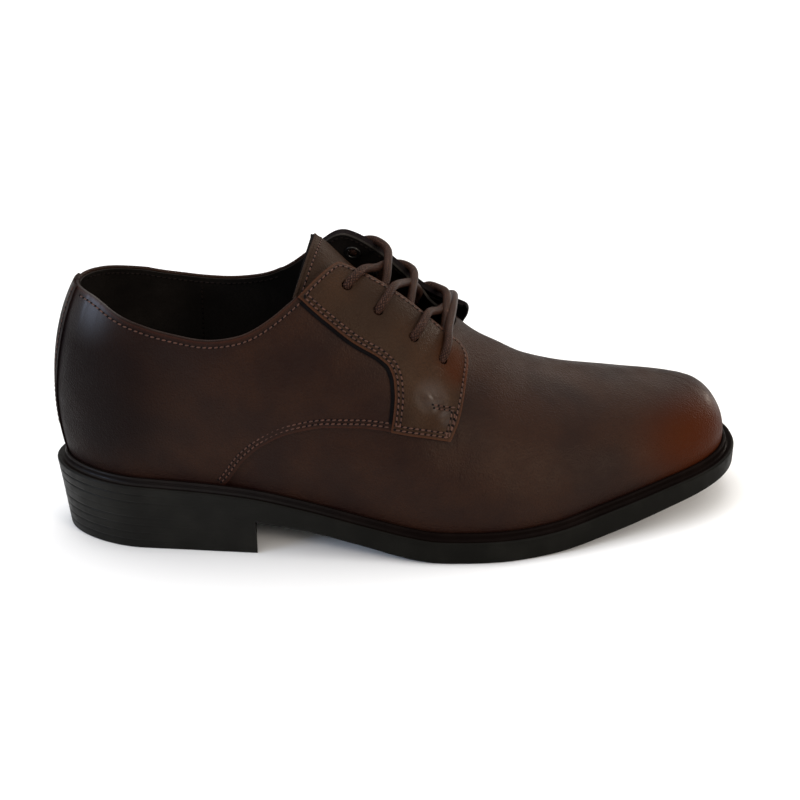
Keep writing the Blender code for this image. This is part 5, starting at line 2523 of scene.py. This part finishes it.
    def smooth(self, knots: Array) -> Array:
        """Even samples of a rounded curve through knots.

        Args:
            knots: Places to pass.

        Returns:
            Places at even spaces.
        """
        padded = np.concatenate([[2 * knots[0] - knots[1]], knots, [2 * knots[-1] - knots[-2]]])
        run = []
        for k in range(len(knots) - 1):
            p0, p1, p2, p3 = padded[k:k + 4]
            gaps = [max(np.linalg.norm(q - p), 1e-6) ** 0.5 for p, q in ((p0, p1), (p1, p2), (p2, p3))]
            m1 = (p2 - p1) + gaps[1] * ((p1 - p0) / gaps[0] - (p2 - p0) / (gaps[0] + gaps[1]))
            m2 = (p2 - p1) + gaps[1] * ((p3 - p2) / gaps[2] - (p3 - p1) / (gaps[1] + gaps[2]))
            for u in np.linspace(0, 1, self.span_samples, endpoint=False):
                ends = p1 * (1 + 2 * u) * (1 - u) ** 2 + p2 * u * u * (3 - 2 * u)
                run.append(ends + m1 * u * (1 - u) ** 2 - m2 * u * u * (1 - u))
        line = np.array(run + [knots[-1]])
        far = run_of(line)
        at = np.linspace(0, far[-1], int(far[-1] / self.spacing))
        even = np.stack([np.interp(at, far, line[:, k]) for k in range(3)], -1)
        for _ in range(self.smoothings):
            even[1:-1] = even[1:-1] / 2 + (even[:-2] + even[2:]) / 4
        return even

    def build_cord(self, finish: Material) -> Piece:
        """Build the lace as one round cord.

        Args:
            finish: Finish of the cord.

        Returns:
            The lace.
        """
        line = self.route()
        ahead = unit(np.gradient(line, axis=0))
        aside = np.array([1.0, 0.0, 0.0])
        turns = np.linspace(0, 2 * math.pi, self.sides + 1)
        rows = [np.repeat(line[:1], len(turns), axis=0)]
        for k in range(len(line)):
            aside = unit(aside - ahead[k] * aside.dot(ahead[k]))
            over = np.cross(ahead[k], aside)
            circle = np.cos(turns)[:, None] * aside + np.sin(turns)[:, None] * over
            rows.append(line[k] + circle * self.radius)
        rows.append(np.repeat(line[-1:], len(turns), axis=0))
        run = np.concatenate([[0.0], run_of(line), [0.0]])
        uv = np.stack(np.broadcast_arrays(run[None, :], (turns * self.radius)[:, None]), -1)
        sheets = Sheets(self.last)
        sheets.add(np.array(rows).transpose(1, 0, 2), uv=uv)
        piece = sheets.piece("lace", finish)
        turn_out(piece)
        nodes = ("lace_bar", "lace_cross_low", "lace_cross_middle", "lace_cross_top")
        return place(piece, "lace_cord", *nodes)

    def build_rings(self, finish: Material) -> Piece:
        """Build the rings that grip the eyelets from inside.

        Args:
            finish: Metal of the rings.

        Returns:
            All rings as one piece.
        """
        bm = bmesh.new()
        start = Matrix.Translation((self.ring_radius, 0, 0)) @ Matrix.Rotation(math.pi / 2, 4, "X")
        spin = {"cent": (0, 0, 0), "axis": (0, 0, 1), "angle": 2 * math.pi, "use_merge": True}
        for out, frame in (pair for side in Side for pair in self.upper.hole_frames(side)):
            made = bmesh.ops.create_circle(bm, segments=self.ring_sides, radius=self.ring_wire, matrix=start)
            loop = made["verts"] + list({edge for vert in made["verts"] for edge in vert.link_edges})
            before = set(bm.verts) - set(made["verts"])
            bmesh.ops.spin(bm, geom=loop, steps=self.ring_steps, **spin)
            fresh = [vert for vert in bm.verts if vert not in before]
            inwards = Matrix.Translation(-out * (WALL + self.ring_gap))
            bmesh.ops.transform(bm, matrix=inwards @ frame, verts=fresh)
        bmesh.ops.recalc_face_normals(bm, faces=bm.faces)
        for face in bm.faces:
            face.smooth = True
        return place(shown("eyelet_rings", bm, finish), "facing_leather")


class LightRow(NamedTuple):
    """One soft light of the studio."""

    name: str
    spot: Spot
    target: Spot
    size: Span
    power: float
    colour: Spot = (1.0, 1.0, 1.0)


@dataclass(frozen=True)
class Studio:
    """Pale floor, soft lights and the camera."""

    azimuth: float = -4.5
    elevation: float = 25.5
    roll: float = -1.5
    distance: float = 0.72
    target: Spot = (0.1005, -0.0040, 0.0425)
    lens: float = 78.08
    sensor: float = 36.0
    shift: Span = (0.0025, 0.01375)
    nearest: float = 0.05
    floor_size: float = 60.0
    sky: Colour = (1.0, 0.985, 0.96, 1.0)
    horizon: float = 0.10
    zenith: float = 1.20
    full_height: float = 0.9
    lights: tuple[LightRow, ...] = (
        LightRow("overhead", (0.10, 0.35, 1.30), (0.10, 0.0, 0.05), (1.2, 0.8), 8.0),
        LightRow("rim", (1.08, 0.62, 0.30), (0.20, 0.0, 0.04), (0.16, 0.16), 2.6, (1.0, 0.90, 0.78)),
        LightRow("back", (0.72, 1.07, 0.56), (0.14, 0.0, 0.05), (0.5, 0.4), 1.6, (1.0, 0.90, 0.78)),
        LightRow("window", (-1.15, -0.45, 0.48), (0.0, 0.0, 0.07), (0.5, 0.6), 7.0, (0.60, 0.74, 1.0)),
        LightRow("front", (0.82, -0.96, 0.52), (0.13, -0.02, 0.05), (0.4, 0.3), 7.0, (1.0, 0.90, 0.80)),
    )

    def build_floor(self, finish: Material) -> Piece:
        """Lay the pale floor."""
        bm = bmesh.new()
        bmesh.ops.create_grid(bm, x_segments=1, y_segments=1, size=self.floor_size / 2)
        floor = shown("floor", bm, finish)
        return floor

    def build_lights(self) -> None:
        """Hang the soft lights and show colours as they are."""
        for row in self.lights:
            lamp = bpy.data.lights.new(row.name, "AREA")
            lamp.shape = "RECTANGLE"
            lamp.size, lamp.size_y = row.size
            lamp.energy = row.power
            lamp.color = row.colour
            made = bpy.data.objects.new(row.name, lamp)
            made.location = row.spot
            aim = Vector(row.target) - Vector(row.spot)
            made.rotation_euler = aim.to_track_quat("-Z", "Y").to_euler()
            bpy.context.scene.collection.objects.link(made)
        bpy.context.scene.view_settings.view_transform = "Standard"

    def build_sky(self) -> None:
        """Light the room evenly from above, with a dim horizon."""
        world = bpy.data.worlds.new("studio")
        world.use_nodes = True
        tree = world.node_tree
        direction = tree.nodes.new("ShaderNodeTexCoord")
        split = tree.nodes.new("ShaderNodeSeparateXYZ")
        tree.links.new(direction.outputs["Generated"], split.inputs["Vector"])
        height = tree.nodes.new("ShaderNodeMapRange")
        height.interpolation_type = "SMOOTHSTEP"
        tree.links.new(split.outputs["Z"], height.inputs["Value"])
        ends = {"From Min": 0.0, "From Max": self.full_height, "To Min": self.horizon, "To Max": self.zenith}
        for name, value in ends.items():
            height.inputs[name].default_value = value
        tree.links.new(height.outputs["Result"], tree.nodes["Background"].inputs["Strength"])
        tree.nodes["Background"].inputs["Color"].default_value = self.sky
        bpy.context.scene.world = world

    def build_camera(self) -> Piece:
        """Set the camera at the photograph's angle."""
        azimuth = math.radians(self.azimuth)
        elevation = math.radians(self.elevation)
        flat = math.cos(elevation)
        back = Vector((math.sin(azimuth) * flat, -math.cos(azimuth) * flat, math.sin(elevation)))
        level = Vector((math.cos(azimuth), math.sin(azimuth), 0.0))
        right = Matrix.Rotation(math.radians(self.roll), 3, back) @ level
        data = bpy.data.cameras.new("camera")
        data.lens = self.lens
        data.sensor_width = self.sensor
        data.shift_x, data.shift_y = self.shift
        data.clip_start = self.nearest
        camera = bpy.data.objects.new("camera", data)
        axes = Matrix((right, back.cross(right), back)).transposed().to_4x4()
        camera.matrix_world = Matrix.Translation(Vector(self.target) + back * self.distance) @ axes
        bpy.context.scene.collection.objects.link(camera)
        bpy.context.scene.camera = camera
        return camera


def main() -> None:
    """Build the shoe round its frame and set the studio."""
    logging.basicConfig(level=logging.INFO, format="%(name)s %(message)s")
    for item in list(bpy.data.objects):
        bpy.data.objects.remove(item)
    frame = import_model()
    LOG.info("frame: %d solids", len(frame["nodes"]))
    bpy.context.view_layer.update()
    finishes = Finishes()
    studio = Studio()
    studio.build_camera()
    studio.build_floor(finishes.paper.material())
    studio.build_lights()
    studio.build_sky()
    last = Last()
    leather = finishes.upper.material()
    facing_leather = finishes.facing.material()
    dye = finishes.dye.material()
    sole = SoleUnit(last)
    bead = finishes.bead.material()
    sole.build_sole(finishes.rubber.material(), finishes.tread.material(), bead)
    sole.build_bead(bead)
    sole.build_sock(finishes.sock.material())
    upper = Upper(last)
    upper.build_vamp(leather)
    upper.build_strip(leather)
    upper.build_topline(leather)
    # Dark strip that paints the shadow along the facings' rear edges.
    upper.build_underlay(dye)
    upper.build_tongue(finishes.tongue.material(), dye)
    lining = upper.build_lining(finishes.lining.material())
    for side in Side:
        quarter = upper.build_quarter(side, leather, dye)
        facing = upper.build_facing(side, facing_leather, dye)
        upper.punch(side, quarter, facing, lining)
        upper.finish_panel(quarter, "upper_leather")
        upper.finish_panel(facing, "facing_leather", "facing_" + side.word)
    upper.finish_panel(lining, "sock_leather")
    Stitching(last, upper).build(finishes)
    lacing = Lacing(last, upper)
    lacing.build_cord(finishes.cord.material())
    lacing.build_rings(finishes.metal.material())


if __name__ == "__main__":
    main()
